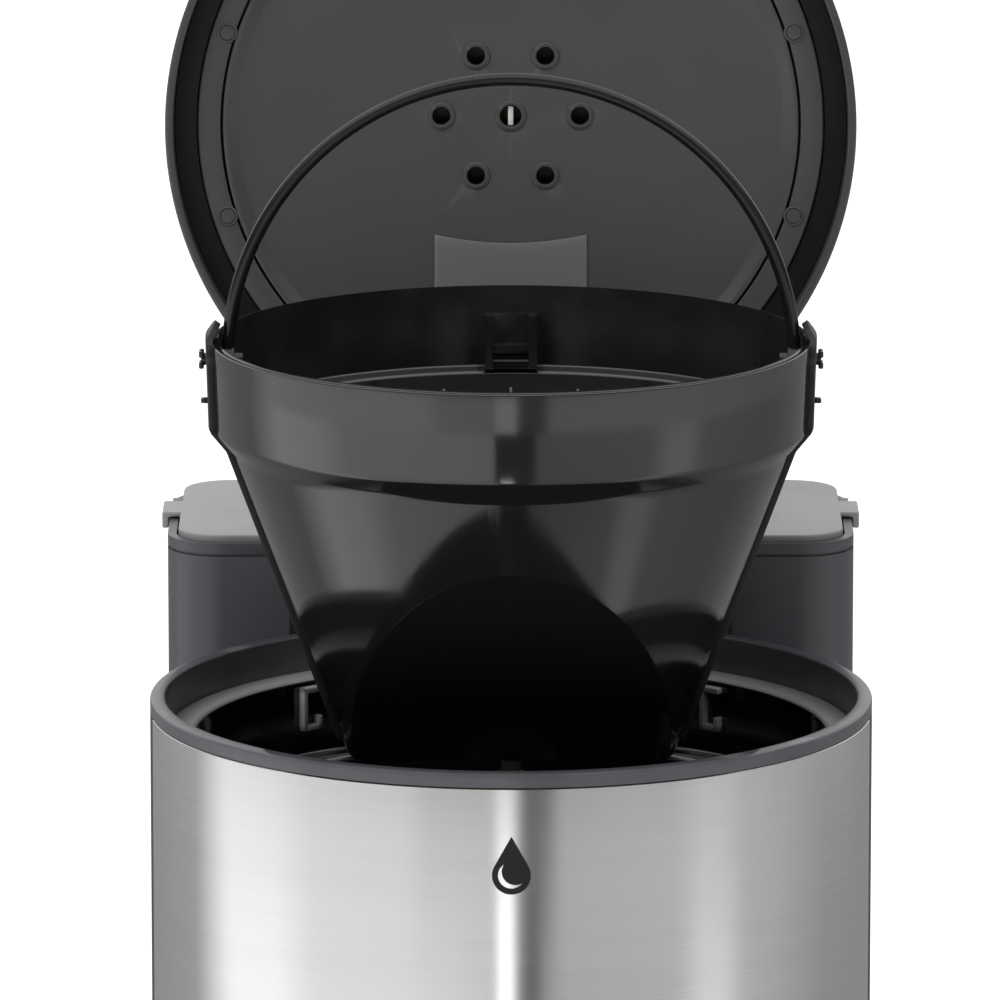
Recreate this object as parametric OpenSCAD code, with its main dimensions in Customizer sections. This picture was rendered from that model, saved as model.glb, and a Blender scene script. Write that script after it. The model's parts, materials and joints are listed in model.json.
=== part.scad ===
/* [Filter basket] */
// Diameter over the basket's rim
basket_d = 145.3; // [130:0.1:160]
// Height of the basket, from its floor to its rim
basket_h = 102; // [95:1:110]
// Height of the upright collar at the top of the basket
collar_h = 21.7; // [18:0.1:26]
// Wall of the basket
basket_wall = 1.6; // [1.4:0.1:2.2]
// Draught of the collar: how much narrower its lower edge is
collar_draught = 0.65; // [0.5:0.05:1]
// Width of the slanted step under the collar, which the basket rests on
shoulder_w = 3.8; // [3.4:0.1:4.2]
// Height of the slanted step under the collar
shoulder_drop = 4.6; // [4:0.1:5.2]
// Slope of the cone: millimetres inward for each millimetre down
cone_slope = 0.372; // [0.3:0.002:0.42]
// Depth below the rim at which the front and rear flats begin
flat_start = 46; // [40:1:52]
// Half the depth of the basket's floor, front to back
floor_half = 12; // [11.5:0.5:16]
// How far the basket is lifted out of its seat
basket_lift = 94; // [80:1:96]

/* [Bail] */
// Diameter of the bail's rod
bail_rod = 3.2; // [2.6:0.1:3.6]
// Depth of the bail's pivots below the rim
pivot_drop = 5; // [4:0.5:8]
// Gap between the bail and the collar's inner wall
bail_gap = 0.45; // [0.4:0.05:1]
// Height of the pivot ears above the rim
ear_rise = 4.5; // [3.5:0.5:8]
// Width of the pivot ears, front to back
ear_w = 17; // [14:1:22]
// Diameter of the pivot pins
pivot_pin_d = 3; // [2.4:0.1:3.4]

/* [Head] */
// Gap between the basket's rim and the chamber wall
chamber_gap = 4.35; // [3.5:0.05:5]
// Width of the ledge around the chamber's mouth
ledge_w = 7.2; // [6:0.1:9]
// Depth of the ledge below the ring's top
ledge_drop = 9; // [7:0.5:11]
// Width of the ring on top of the head
ring_w = 3.8; // [3:0.1:5]
// Height of the ring's outer band
ring_h = 3.5; // [3:0.1:5]
// Depth of the seated basket's rim below the ring's top
rim_sink = 6; // [5:0.5:7]
// Wall of the chamber
chamber_wall = 2; // [1.6:0.1:2.6]
// Thickness of the steel sleeves
sleeve_t = 0.7; // [0.5:0.1:1]
// Half the angle that the steel sleeves cover, from the front
sleeve_half_angle = 81.5; // [60:0.5:84]
// Wall of the plastic housings
wall = 2.2; // [2:0.1:3]

/* [Lid] */
// Height of the lid
lid_h = 23.5; // [20:0.5:26]
// How far the lid's edge stands inside the ring's edge
lid_inset = 1; // [0.5:0.5:2]
// Wall of the lid's rim
lid_wall = 2.1; // [1.8:0.1:2.6]
// Depth of the inner plates inside the lid's rim
plate_sink = 8.5; // [8:0.5:9]
// Outer radius of the grey plate ring, counted in from the lid's edge
plate_ring_inset = 8.1; // [7.5:0.1:9]
// Width of the grey plate ring
plate_ring_w = 5.7; // [5:0.1:6.5]
// Radius of the ring of shower holes
shower_r = 17.5; // [15:0.5:20]
// Diameter of the shower holes
shower_hole_d = 4.6; // [3.6:0.1:5]
// Angle that the lid stands open
lid_open = 95; // [90:1:96]
// Distance of the hinge pin behind the body's edge
hinge_behind = 20; // [18:0.5:21]
// Height of the hinge pin above the ring
hinge_rise = 14; // [13:0.5:15]
// Diameter of the hinge pin
hinge_pin_d = 4; // [3:0.1:5]
// Width of the lid's knuckle
knuckle_w = 36; // [30:1:38]

/* [Tower and tank] */
// How much narrower the tower is than the body, on each side
tower_inset = 1.7; // [1:0.1:3]
// How far the tower's sides reach forward past the body's rear edge
tower_bite = 16; // [14:0.5:22]
// Depth of the tower, front to back
tower_depth = 75; // [70:1:84]
// Height of the tower's rim above the ring
tower_rise = 22.4; // [22:0.1:28]
// Radius of the tower's front corners
tower_front_r = 14; // [10:0.5:15]
// Radius of the tower's rear corners
tower_rear_r = 16; // [12:0.5:20]
// Height of the tank's floor above the base
tank_floor_rise = 86; // [80:1:110]
// Wall of the tank
tank_wall = 1.8; // [1.6:0.1:2.4]
// Thickness of the tank cover
cover_t = 2.4; // [2:0.1:3]
// Width of the cover's ears, front to back
cover_ear_w = 15; // [10:0.5:18]
// How far the cover slides back
cover_travel = 60; // [30:1:70]

/* [Base] */
// Height of the feet
foot_h = 4; // [3:0.5:6]
// Diameter of a foot
foot_d = 18; // [14:1:20]
// Height of the base
base_h = 44; // [42:1:52]
// Clear height between the base and the head
bay_h = 138; // [130:1:170]
// Diameter of the warming plate
plate_d = 122; // [112:1:126]
// Diameter of the power button
button_d = 16; // [12:0.5:18]
// Travel of the power button
button_travel = 2.5; // [1.5:0.1:3]
// Outer diameter of the mains lead that the gland takes
lead_d = 7; // [6:0.1:8]

/* [Jug] */
// Diameter of the jug at its widest
jug_d = 130; // [120:1:138]
// Diameter of the jug's mouth
mouth_d = 104; // [96:1:110]
// Thickness of the glass
glass_t = 2.6; // [2.2:0.1:3.2]
// Reach of the handle in front of the jug
handle_reach = 46; // [40:1:52]
// Width of the handle
handle_w = 19; // [15:1:24]
// Gap between the jug's lid and the head
jug_gap = 3.5; // [3:0.5:5]

/* [Drip valve] */
// Diameter of the valve's stem
valve_stem_d = 4.8; // [4:0.1:5.4]
// Travel of the valve
valve_travel = 4; // [3:0.5:4.5]
// Wire of the valve's spring
spring_wire = 0.8; // [0.6:0.1:0.9]

/* [Clearances] */
// Radial running clearance of pins and bores
run_gap = 0.05; // [0.02:0.01:0.08]
// Gap between pieces that lie against each other or slide
slide_gap = 0.3; // [0.3:0.05:0.5]

/* [Hidden] */
$fn = 96;

// radii, all about the upright axis of the head
basket_r = basket_d / 2;
collar_low_r = basket_r - collar_draught;
cone_top_r = collar_low_r - shoulder_w;
chamber_r = basket_r + chamber_gap;
ring_in_r = chamber_r + ledge_w;
body_r = ring_in_r + ring_w;
sleeve_in_r = body_r - sleeve_t;
core_r = sleeve_in_r - 0.1;
shell_in_r = core_r - wall;
scoop_r = body_r + slide_gap;
lid_swing = 2.6;
lid_scoop_r = scoop_r + lid_swing;

// heights
base_z = foot_h;
base_top = base_z + base_h;
head_z = base_top + bay_h;
bottom_t = 2;
chamber_floor_z = head_z + bottom_t + slide_gap;
seat_gap = 1.7;
seat_step = 0.5;
seated_z = chamber_floor_z + chamber_wall + seat_gap;
rim_z = seated_z + basket_h;
head_top = rim_z + rim_sink;
ring_z = head_top - ring_h;
ledge_z = head_top - ledge_drop;
seat_z = rim_z - collar_h - seat_step - slide_gap;
tower_top = head_top + tower_rise;

// plan of the tower
tower_half = body_r - tower_inset;
tower_front = body_r - tower_bite;
tower_back = tower_front + tower_depth;
cover_gap = 0.5;

// hinge
hinge_y = body_r + hinge_behind;
hinge_z = head_top + hinge_rise;
scoop_step_z = head_top - 3;
barrel_r = hinge_pin_d / 2 + 4.5;
cheek_w = 7;
cheek_gap = 0.5;
block_half = knuckle_w / 2 + cheek_gap + cheek_w;
notch_half = block_half + 3;
block_back = hinge_y + barrel_r + 1.5;
notch_back = block_back + 2;

// lid, drawn closed
lid_r = body_r - lid_inset;
lid_z = head_top + 0.5;
lid_top = lid_z + lid_h;
plate_z = lid_z + plate_sink;
plate_ring_r = lid_r - plate_ring_inset;
groove_w = 0.6;
shower_plate_r = plate_ring_r - plate_ring_w - groove_w;
shower_t = 1.8;
dish = 3;

// basket, drawn lifted
up = basket_lift;
basket_z = seated_z + up;
basket_top = rim_z + up;
collar_z = basket_top - collar_h;
pivot_z = basket_top - pivot_drop;
collar_pivot_r = basket_r - 0.45;
bail_r = collar_pivot_r - basket_wall - bail_rod / 2 - bail_gap;
ear_t = 1.4;
pad_half = 9.5;
rail_t = 1.1;
pin_head_t = 1.55;

// tubes of the water path
tube_r = 5;
tube_bore = 3.4;
heater_r = 40;
heater_z = base_top - 11;
leg_x = 17;
leg_y = heater_r * cos(asin(leg_x / heater_r));
elbow_r = 8.4;
feed_y = tower_back - 16;
riser_y = body_r + 10.5;
tank_floor = base_top + tank_floor_rise;
tank_top = tower_top - 7;
tank_inset = wall + 0.6;
channel_half = leg_x + tube_r + 4;
channel_back = riser_y + tube_r + 4;
check_z = base_top + 22;
check_h = 24;

// jug
jug_r = jug_d / 2;
mouth_r = mouth_d / 2;
plate_top = base_top + 1.7;
jug_z = plate_top + slide_gap;
jug_top = head_z - jug_gap;
jug_lid_t = 10;
mouth_z = jug_top - jug_lid_t - slide_gap;
band_h = 12;
neck_z = mouth_z - band_h - 4;
belly_z = jug_z + 46;

// front of the object: the jug's handle; back: the cord gland
gland_out = 2;
front_y = -(jug_r + handle_reach);
back_y = tower_back + gland_out;
axis_y = -(front_y + back_y) / 2;

module placed() { translate([0, axis_y, 0]) children(); }

// turns a piece drawn with the lid closed to where it is with the lid open
module opened() {
    placed() translate([0, hinge_y, hinge_z]) rotate([-lid_open, 0, 0])
        translate([0, -hinge_y, -hinge_z]) children();
}

// a cylinder between two points on one line along X or Y
module along_x(x0, x1, y, z, r) { translate([x0, y, z]) rotate([0, 90, 0]) cylinder(r = r, h = x1 - x0); }
module along_y(y0, y1, x, z, r) { translate([x, y0, z]) rotate([-90, 0, 0]) cylinder(r = r, h = y1 - y0); }
module ring(r_out, r_in, z0, z1) {
    translate([0, 0, z0]) difference() {
        cylinder(r = r_out, h = z1 - z0);
        translate([0, 0, -1]) cylinder(r = r_in, h = z1 - z0 + 2);
    }
}

// outline with round front and rear corners
module round_plan(half, front, back, r_front, r_back) {
    translate([-half + r_front, front]) square([2 * (half - r_front), r_front + 1]);
    translate([-half, front + r_front]) square([2 * half, back - front - r_front - r_back]);
    translate([-half + r_back, back - r_back - 1]) square([2 * (half - r_back), r_back + 1]);
    for (s = [-1, 1]) {
        translate([s * (half - r_front), front + r_front]) circle(r = r_front);
        translate([s * (half - r_back), back - r_back]) circle(r = r_back);
    }
}

// plan of the tower, drawn in by t from its outside, with a scoop that takes the head or the lid
module tower_plan(t, scoop) {
    difference() {
        round_plan(tower_half - t, tower_front + t, tower_back - t, tower_front_r - t, tower_rear_r - t);
        circle(r = scoop + t);
    }
}

// plan of the base, drawn in by t
module base_plan(t) {
    circle(r = body_r - t);
    round_plan(tower_half - t, 0, tower_back - t, 1, tower_rear_r - t);
}

// plan of the space inside the base, drawn in by t
module base_inside(t) {
    circle(r = shell_in_r - t);
    round_plan(tower_half - wall - t, 0, tower_back - wall - t, 1, tower_rear_r - wall - t);
}

// wedge-shaped sector from the front, for the sleeves
module front_sector(r, half_angle) {
    polygon(concat([[0, 0]], [for (k = [-4:4]) let (a = -90 + k * half_angle / 4) [r * cos(a), r * sin(a)]]));
}

module sleeve(z0, z1) {
    translate([0, 0, z0]) linear_extrude(z1 - z0) intersection() {
        difference() { circle(r = body_r); circle(r = sleeve_in_r); }
        front_sector(body_r * 1.5, sleeve_half_angle);
    }
}

// recess that the sleeve lies in
module sleeve_recess(z0, z1) {
    translate([0, 0, z0]) linear_extrude(z1 - z0) intersection() {
        difference() { circle(r = body_r + 1); circle(r = core_r); }
        front_sector(body_r * 1.5, sleeve_half_angle + 0.15);
    }
}

// tube of outer radius r that runs back from y0 and turns up to z1 at y1
module bent_tube(x, y0, z0, y1, z1, r, bore) {
    module run(rr, over) {
        along_y(y0 - over, y1 - elbow_r, x, z0, rr);
        translate([x, y1, z0 + elbow_r]) cylinder(r = rr, h = z1 - z0 - elbow_r + over);
        translate([x, y1 - elbow_r, z0 + elbow_r]) rotate([90, 0, 90])
            rotate([0, 0, -90]) rotate_extrude(angle = 90) translate([elbow_r, 0]) circle(r = rr);
    }
    difference() { run(r, 0); run(bore, 1); }
}

// ---- base ----
foot_places = [
    for (s = [-1, 1]) [s * body_r * 0.62, -body_r * 0.6],
    for (s = [-1, 1]) [s * (tower_half - 20), tower_back - 20]
];
// the front screws' posts stay clear of the warming plate's hole
plate_hole_r = plate_d / 2 + 2.5;
post_r = 4.2;
post_clear = 1.6;
function clear_post(x, y) = [x, y] * max(1, (plate_hole_r + post_clear + post_r) / norm([x, y]));
screw_places = [
    for (s = [-1, 1]) clear_post(s * body_r * 0.8, -body_r * 0.2),
    for (s = [-1, 1]) [s * (tower_half - 13), tower_back - 40],
    for (s = [-1, 1]) clear_post(s * 20, -body_r * 0.8 + 3)
];
base_plate_t = 2.5;
plate_gap_z = base_z + base_plate_t;

module rubber_feet() {
    color("#1c1c1c") placed() for (p = foot_places) translate([p[0], p[1], 0]) {
        cylinder(r = foot_d / 2, h = foot_h);
        cylinder(r = 3, h = foot_h + base_plate_t);
    }
}

module base_plate() {
    color("#26262a") placed() difference() {
        translate([0, 0, base_z]) linear_extrude(base_plate_t) base_inside(slide_gap);
        for (p = foot_places) translate([p[0], p[1], base_z - 1]) cylinder(r = 3 + run_gap, h = 9);
        for (p = screw_places) translate([p[0], p[1], base_z - 1]) {
            cylinder(r = 1.8, h = 9);
            cylinder(r = 3.4, h = 2.4);
        }
        for (k = [-4:4]) translate([k * 9 - 2, -14, base_z - 1]) cube([4, 28, 9]);
    }
}

module base_screws() {
    color("#b8b8b8") placed() for (p = screw_places) translate([p[0], p[1], base_z + 0.2]) {
        cylinder(r = 3.1, h = 1.15);
        cylinder(r = 1.5, h = 14);
    }
}

button_z = base_z + base_h / 2;
lens_angle = 14;
board_z = plate_gap_z + 5;
board_hole_x = 29;
deck_t = 2.5;
deck_z = base_top - deck_t;

module button_axis() { translate([0, 0, button_z]) rotate([90, 0, 0]) children(); }
module lens_axis() { rotate([0, 0, lens_angle]) translate([0, 0, button_z]) rotate([90, 0, 0]) children(); }

module base_housing() {
    color("#2b2b2f") placed() {
        difference() {
            translate([0, 0, base_z]) linear_extrude(base_h) base_plan(0);
            translate([0, 0, base_z - 1]) linear_extrude(base_h - deck_t + 1) base_inside(0);
            sleeve_recess(base_z + 2, base_top - 2);
            translate([0, 0, deck_z - 1]) cylinder(r = plate_hole_r, h = 9);
            for (p = [[-leg_x, feed_y], [leg_x, riser_y]])
                translate([p[0], p[1], deck_z - 1]) cylinder(r = tube_r + 1, h = 9);
            button_axis() translate([0, 0, 60]) cylinder(r = button_d / 2 + 2, h = 60);
            lens_axis() translate([0, 0, 60]) cylinder(r = 2.05, h = 60);
            along_y(tower_back - 10, tower_back + 10, tower_half - 38, base_z + 16, lead_d / 2 + 3.1);
        }
        for (p = screw_places) translate([p[0], p[1], plate_gap_z]) difference() {
            cylinder(r = post_r, h = deck_z - plate_gap_z);
            translate([0, 0, -1]) cylinder(r = 1.5 + run_gap, h = 14);
        }
        for (s = [-1, 1]) translate([s * board_hole_x, tower_back - 52, plate_gap_z]) difference() {
            cylinder(r = 3, h = deck_z - plate_gap_z);
            translate([0, 0, -1]) cylinder(r = 1.2, h = 8);
        }
    }
}

module base_sleeve() {
    color("#d6d6d6") placed() difference() {
        sleeve(base_z + 2.1, base_top - 2.1);
        button_axis() translate([0, 0, 60]) cylinder(r = button_d / 2 + 2, h = 60);
        lens_axis() translate([0, 0, 60]) cylinder(r = 2.05, h = 60);
    }
}

module cord_gland() {
    color("#1a1a1a") placed() difference() {
        union() {
            along_y(tower_back - 7, back_y, tower_half - 38, base_z + 16, lead_d / 2 + 3);
            along_y(tower_back + 0.05, back_y, tower_half - 38, base_z + 16, lead_d / 2 + 4.5);
            along_y(tower_back - 7, tower_back - wall - 0.05, tower_half - 38, base_z + 16, lead_d / 2 + 4.5);
        }
        along_y(tower_back - 20, back_y + 5, tower_half - 38, base_z + 16, lead_d / 2 + 0.1);
    }
}

seal_in_r = plate_d / 2 + 0.1;
module warming_plate() {
    color("#3a3a3c") placed() rotate_extrude() polygon([
        [0, plate_top - 1.6], [plate_d / 2 - 4, plate_top - 1.6], [plate_d / 2 - 4, deck_z - 2],
        [plate_d / 2 - 2.4, deck_z - 2], [plate_d / 2 - 2.4, plate_top - 1.6], [plate_d / 2, plate_top - 1.6],
        [plate_d / 2, plate_top - 0.6], [plate_d / 2 - 0.6, plate_top], [0, plate_top]
    ]);
}

module plate_seal() {
    color("#141414") placed() rotate_extrude() polygon([
        [plate_d / 2 - 2.3, deck_z - 2], [plate_hole_r - 0.1, deck_z - 2], [plate_hole_r - 0.1, base_top + 0.05],
        [plate_hole_r + 1.2, base_top + 0.05], [plate_hole_r + 0.6, base_top + 0.9],
        [seal_in_r, base_top + 0.9], [seal_in_r, plate_top - 1.7], [plate_d / 2 - 2.3, plate_top - 1.7]
    ]);
}

module heater_tube() {
    color("#a9acb0") placed() difference() {
        union() {
            translate([0, 0, heater_z]) rotate([0, 0, 90 + asin(leg_x / heater_r)])
                rotate_extrude(angle = 360 - 2 * asin(leg_x / heater_r))
                    translate([heater_r, 0]) circle(r = tube_r);
            for (s = [-1, 1]) {
                translate([s * leg_x, leg_y, heater_z]) sphere(r = tube_r + 0.6);
                along_y(leg_y, leg_y + 16, s * leg_x, heater_z, tube_r);
            }
        }
        for (s = [-1, 1]) along_y(leg_y + 2, leg_y + 17, s * leg_x, heater_z, tube_bore);
    }
}

element_z = heater_z - tube_r - 4.2;
lead_angles = [126, 54];
module heating_element() {
    color("#5c5c5e") placed() {
        translate([0, 0, element_z]) rotate([0, 0, 120])
            rotate_extrude(angle = 300) translate([heater_r, 0]) circle(r = 3.6);
        for (a = lead_angles) rotate([0, 0, a]) translate([heater_r, 0, element_z - 9]) cylinder(r = 2, h = 9);
    }
}

clamp_z = element_z - 3.6 - 3.4;
module heater_clamp() {
    color("#8d8f92") placed() difference() {
        union() {
            for (a = [0, 60, 120]) rotate([0, 0, a + 90]) translate([-heater_r - 7, -6, clamp_z + 1])
                cube([2 * heater_r + 14, 12, 2]);
            translate([0, 0, clamp_z + 1]) cylinder(r = 14, h = 2);
        }
        translate([0, 0, clamp_z - 5]) cylinder(r = 2.1, h = 20);
        for (a = lead_angles) rotate([0, 0, a]) translate([heater_r, 0, clamp_z - 5]) cylinder(r = 2.6, h = 20);
    }
}

module clamp_screw() {
    color("#c0c0c0") placed() translate([0, 0, clamp_z - 1.6]) {
        cylinder(r = 4, h = 2.5);
        cylinder(r = 2, h = plate_top - 1.65 - (clamp_z - 1.6) - 9.5);
    }
}

module thermostat() {
    color("#e0ddd2") placed() {
        translate([0, 0, plate_top - 1.65 - 9.4]) difference() {
            cylinder(r = 9, h = 9.4);
            translate([0, 0, -1]) cylinder(r = 3, h = 4);
        }
        for (s = [-1, 1]) translate([s * 11 - 3, -1.5, plate_top - 1.65 - 8]) cube([6, 3, 1]);
    }
}

module control_board() {
    color("#2f6b45") placed() {
        translate([-34, tower_back - 62, board_z]) difference() {
            cube([68, 44, 1.6]);
            for (s = [-1, 1]) translate([34 + s * board_hole_x, 10, -1]) cylinder(r = 3.2, h = 5);
        }
        translate([-30, tower_back - 40, board_z + 1.6]) cube([16, 12, 8]);
        translate([6, tower_back - 34, board_z + 1.6]) cube([22, 10, 6]);
        translate([-4, tower_back - 50, board_z + 1.6]) cylinder(r = 4, h = 9);
    }
}

switch_front = core_r - 7;
module switch_body() {
    color("#202022") placed() difference() {
        translate([-13, -switch_front, button_z - 13]) cube([26, 16, 26]);
        along_y(-switch_front - 1, -switch_front + 9, 0, button_z, 4.3);
    }
}

module button_bezel() {
    color("#3c3c40") placed() intersection() {
        button_axis() translate([0, 0, switch_front + 0.1]) difference() {
            cylinder(r = button_d / 2 + 1.95, h = 12);
            translate([0, 0, -1]) cylinder(r = button_d / 2 + slide_gap, h = 14);
        }
        translate([0, 0, base_z]) cylinder(r = body_r + 0.6, h = base_h);
    }
}

module power_button() {
    color("#17171a") placed() difference() {
        union() {
            button_axis() translate([0, 0, switch_front + button_travel + 0.4])
                cylinder(r = button_d / 2, h = body_r + 1.6 - switch_front - button_travel - 0.4);
            button_axis() translate([0, 0, switch_front - 4]) cylinder(r = 4, h = 9);
        }
        translate([0, -body_r - 1.6 - 58.8, button_z]) sphere(r = 59.5);
    }
}

module indicator_lens() {
    color("#d8e6ee") placed() lens_axis() {
        translate([0, 0, shell_in_r - 3]) cylinder(r = 2, h = body_r + 0.3 - shell_in_r + 3);
        translate([0, 0, shell_in_r - 3]) cylinder(r = 3, h = 2.2);
    }
}

// ---- water path ----
module cold_hose() {
    color("#8a8f92") placed()
        bent_tube(-leg_x, leg_y + 16.1, heater_z, feed_y, check_z - 0.05, tube_r, tube_bore);
}

module check_valve() {
    color("#ece8da") placed() translate([-leg_x, feed_y, check_z]) difference() {
        union() {
            cylinder(r = tube_r + 2.5, h = check_h);
            translate([0, 0, -6]) cylinder(r = tube_bore - run_gap, h = check_h + 12);
        }
        translate([0, 0, -7]) cylinder(r = 2, h = check_h + 14);
        translate([0, 0, 5]) cylinder(r = 4.5, h = check_h - 10);
    }
}

module feed_hose() {
    color("#8a8f92") placed() translate([-leg_x, feed_y, 0])
        ring(tube_r, tube_bore, check_z + check_h + 0.05, tank_floor - 8.05);
}

module riser_tube() {
    color("#8a8f92") placed()
        bent_tube(leg_x, leg_y + 16.1, heater_z, riser_y, head_top - 14, tube_r, tube_bore);
}

// ---- tower ----
window_y = tower_back - 30;
module window_shape(r, depth) {
    translate([tower_half - depth, window_y, 0]) rotate([90, 0, 90]) linear_extrude(depth + 3) union() {
        translate([0, tank_floor + 20]) circle(r = r);
        translate([0, tank_top - 22]) circle(r = r);
        translate([-r, tank_floor + 20]) square([2 * r, tank_top - tank_floor - 42]);
    }
}

head_screw_x = 19;
head_screw_places = [for (s = [-1, 1], z = [20, 46]) [s * head_screw_x, head_z + z]];
module tower_housing() {
    color("#454449") placed() difference() {
        union() {
            translate([0, 0, base_top]) linear_extrude(scoop_step_z - base_top) tower_plan(0, scoop_r);
            translate([0, 0, base_top]) linear_extrude(tower_top - base_top) tower_plan(0, lid_scoop_r);
        }
        translate([0, 0, base_top - 1]) linear_extrude(scoop_step_z - wall - base_top + 1) tower_plan(wall, scoop_r);
        translate([0, 0, base_top - 1]) linear_extrude(tower_top - base_top + 2) tower_plan(wall, lid_scoop_r);
        // low rear edge, for the cover to slide out over
        translate([-tower_half - 5, tower_back - tower_rear_r - 1, cover_z - 0.4])
            cube([2 * tower_half + 10, tower_rear_r + 10, cover_t + 5]);
        // notch for the hinge block and the lid's neck
        translate([-notch_half, 0, head_top - 6]) cube([2 * notch_half, notch_back, tower_rise + 10]);
        // groove under the rim
        translate([0, 0, tower_top - 3.4]) linear_extrude(0.7) difference() {
            round_plan(tower_half + 1, tower_front - 1, tower_back + 1, tower_front_r, tower_rear_r);
            round_plan(tower_half - 0.6, tower_front + 0.6, tower_back - 0.6,
                tower_front_r - 0.6, tower_rear_r - 0.6);
            circle(r = scoop_r + 2);
        }
        window_shape(5, wall + 1);
        for (p = head_screw_places) along_y(tower_front, tower_front + 40, p[0], p[1], 2.3);
    }
}

module level_window() {
    color("#b9cdd6") placed() intersection() {
        window_shape(4.9, wall);
        translate([0, 0, tank_floor]) linear_extrude(tank_top - tank_floor) tower_plan(-0.4, scoop_r);
    }
}

module tank_shape(t) {
    difference() {
        tower_plan(tank_inset + t, lid_scoop_r);
        translate([-channel_half - t, 0]) square([2 * (channel_half + t), channel_back + t]);
    }
}

outlet_z = tank_floor - 8;
module water_tank() {
    color("#6e7479") placed() difference() {
        union() {
            translate([0, 0, tank_floor]) linear_extrude(tank_top - tank_floor) tank_shape(0);
            translate([-leg_x, feed_y, outlet_z]) cylinder(r = tube_r, h = 9);
            translate([-leg_x, feed_y, outlet_z - 6]) cylinder(r = tube_bore - run_gap, h = 9);
        }
        translate([0, 0, tank_floor + tank_wall]) linear_extrude(tank_top) tank_shape(tank_wall);
        translate([-leg_x, feed_y, outlet_z - 8]) cylinder(r = 2.2, h = 30);
        // lower wall behind the hinge
        translate([-notch_half, 0, head_top - 6]) cube([2 * notch_half, notch_back, tower_rise]);
    }
}

module outlet_screen() {
    color("#9a9c9e") placed() translate([-leg_x, feed_y, tank_floor + tank_wall + 0.05]) difference() {
        union() { cylinder(r = 7, h = 1); ring(7, 6, 0, 4); }
        for (k = [0:5]) rotate([0, 0, 60 * k]) translate([3.6, 0, -1]) cylinder(r = 1, h = 4);
        translate([0, 0, -1]) cylinder(r = 1, h = 4);
    }
}

cover_top = tower_top + 1.6;
cover_z = cover_top - cover_t;
cover_ear_y = hinge_y + 3;
cover_ear_out = 2;
cover_side = wall + cover_gap;
module tank_cover() {
    color("#8f8f8f") placed() difference() {
        union() {
            translate([0, 0, cover_z]) linear_extrude(cover_t) difference() {
                round_plan(tower_half - cover_side, tower_front + cover_side, tower_back - 1,
                    tower_front_r - cover_side, tower_rear_r - 4);
                circle(r = lid_scoop_r + cover_side);
            }
            for (s = [-1, 1]) {
                mirror([s > 0 ? 0 : 1, 0, 0]) translate([0, cover_ear_y - cover_ear_w / 2, 0]) {
                    translate([tower_half - 6, 0, tower_top + slide_gap])
                        cube([6 + cover_ear_out, cover_ear_w, cover_top - tower_top - slide_gap]);
                    translate([tower_half + slide_gap, 0, tower_top - 2.5])
                        cube([cover_ear_out - slide_gap, cover_ear_w, cover_top - tower_top + 2.5]);
                }
            }
        }
        translate([-notch_half, 0, cover_z - 5]) cube([2 * notch_half, notch_back, 20]);
    }
}

// ---- head ----
module head_housing() {
    color("#2b2b2f") placed() difference() {
        union() {
            ring(body_r, shell_in_r, head_z, ring_z - 0.05);
            // shelf that carries the chamber
            ring(shell_in_r + 1, chamber_r + chamber_wall + slide_gap, ledge_z - 5, ledge_z - 2.25);
            for (p = head_screw_places)
                intersection() {
                    along_y(60, body_r, p[0], p[1], 5);
                    translate([0, 0, head_z]) cylinder(r = body_r - 0.5, h = head_top - head_z);
                }
        }
        sleeve_recess(head_z + 2, ring_z + 1);
        for (p = head_screw_places) along_y(50, body_r + 5, p[0], p[1], 2 + run_gap);
    }
}
module head_screws() {
    color("#b8b8b8") placed() for (p = head_screw_places) {
        y = sqrt(pow(scoop_r + wall, 2) - pow(head_screw_x - 3.6, 2)) + 0.1;
        along_y(62, y + 0.5, p[0], p[1], 2);
        along_y(y, y + 2, p[0], p[1], 3.6);
    }
}

module head_sleeve() {
    color("#dcdcdc") placed() sleeve(head_z + 2.1, ring_z - 0.15);
}

// generic droplet, a thin printed shape on the sleeve
emblem_z = head_top - 24.5;
module emblem() {
    color("#0c0c0c") placed() intersection() {
        translate([0, 0, emblem_z]) rotate([90, 0, 0]) linear_extrude(body_r + 5) difference() {
            union() {
                circle(r = 4.6);
                polygon([[-4.05, 2.2], [0, 9.4], [4.05, 2.2]]);
            }
            difference() {
                circle(r = 3.2);
                translate([0.9, 0.9]) circle(r = 3.2);
            }
        }
        ring(body_r + 0.2, body_r + 0.02, emblem_z - 12, emblem_z + 12);
    }
}

drip_hole_r = 12;
module head_bottom() {
    color("#2b2b2f") placed() difference() {
        translate([0, 0, head_z]) cylinder(r = shell_in_r - 0.2, h = bottom_t);
        translate([0, 0, head_z - 1]) cylinder(r = drip_hole_r + 2, h = 9);
    }
}

module guide_lug(a) {
    rotate([0, 0, a]) translate([0, chamber_r + 0.4, ledge_z - 7]) rotate([90, 0, 0])
        linear_extrude(2.2) difference() {
        translate([-3, -6]) square([6, 11]);
        translate([-1.6, -4.5]) square([6, 8]);
    }
}

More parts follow.
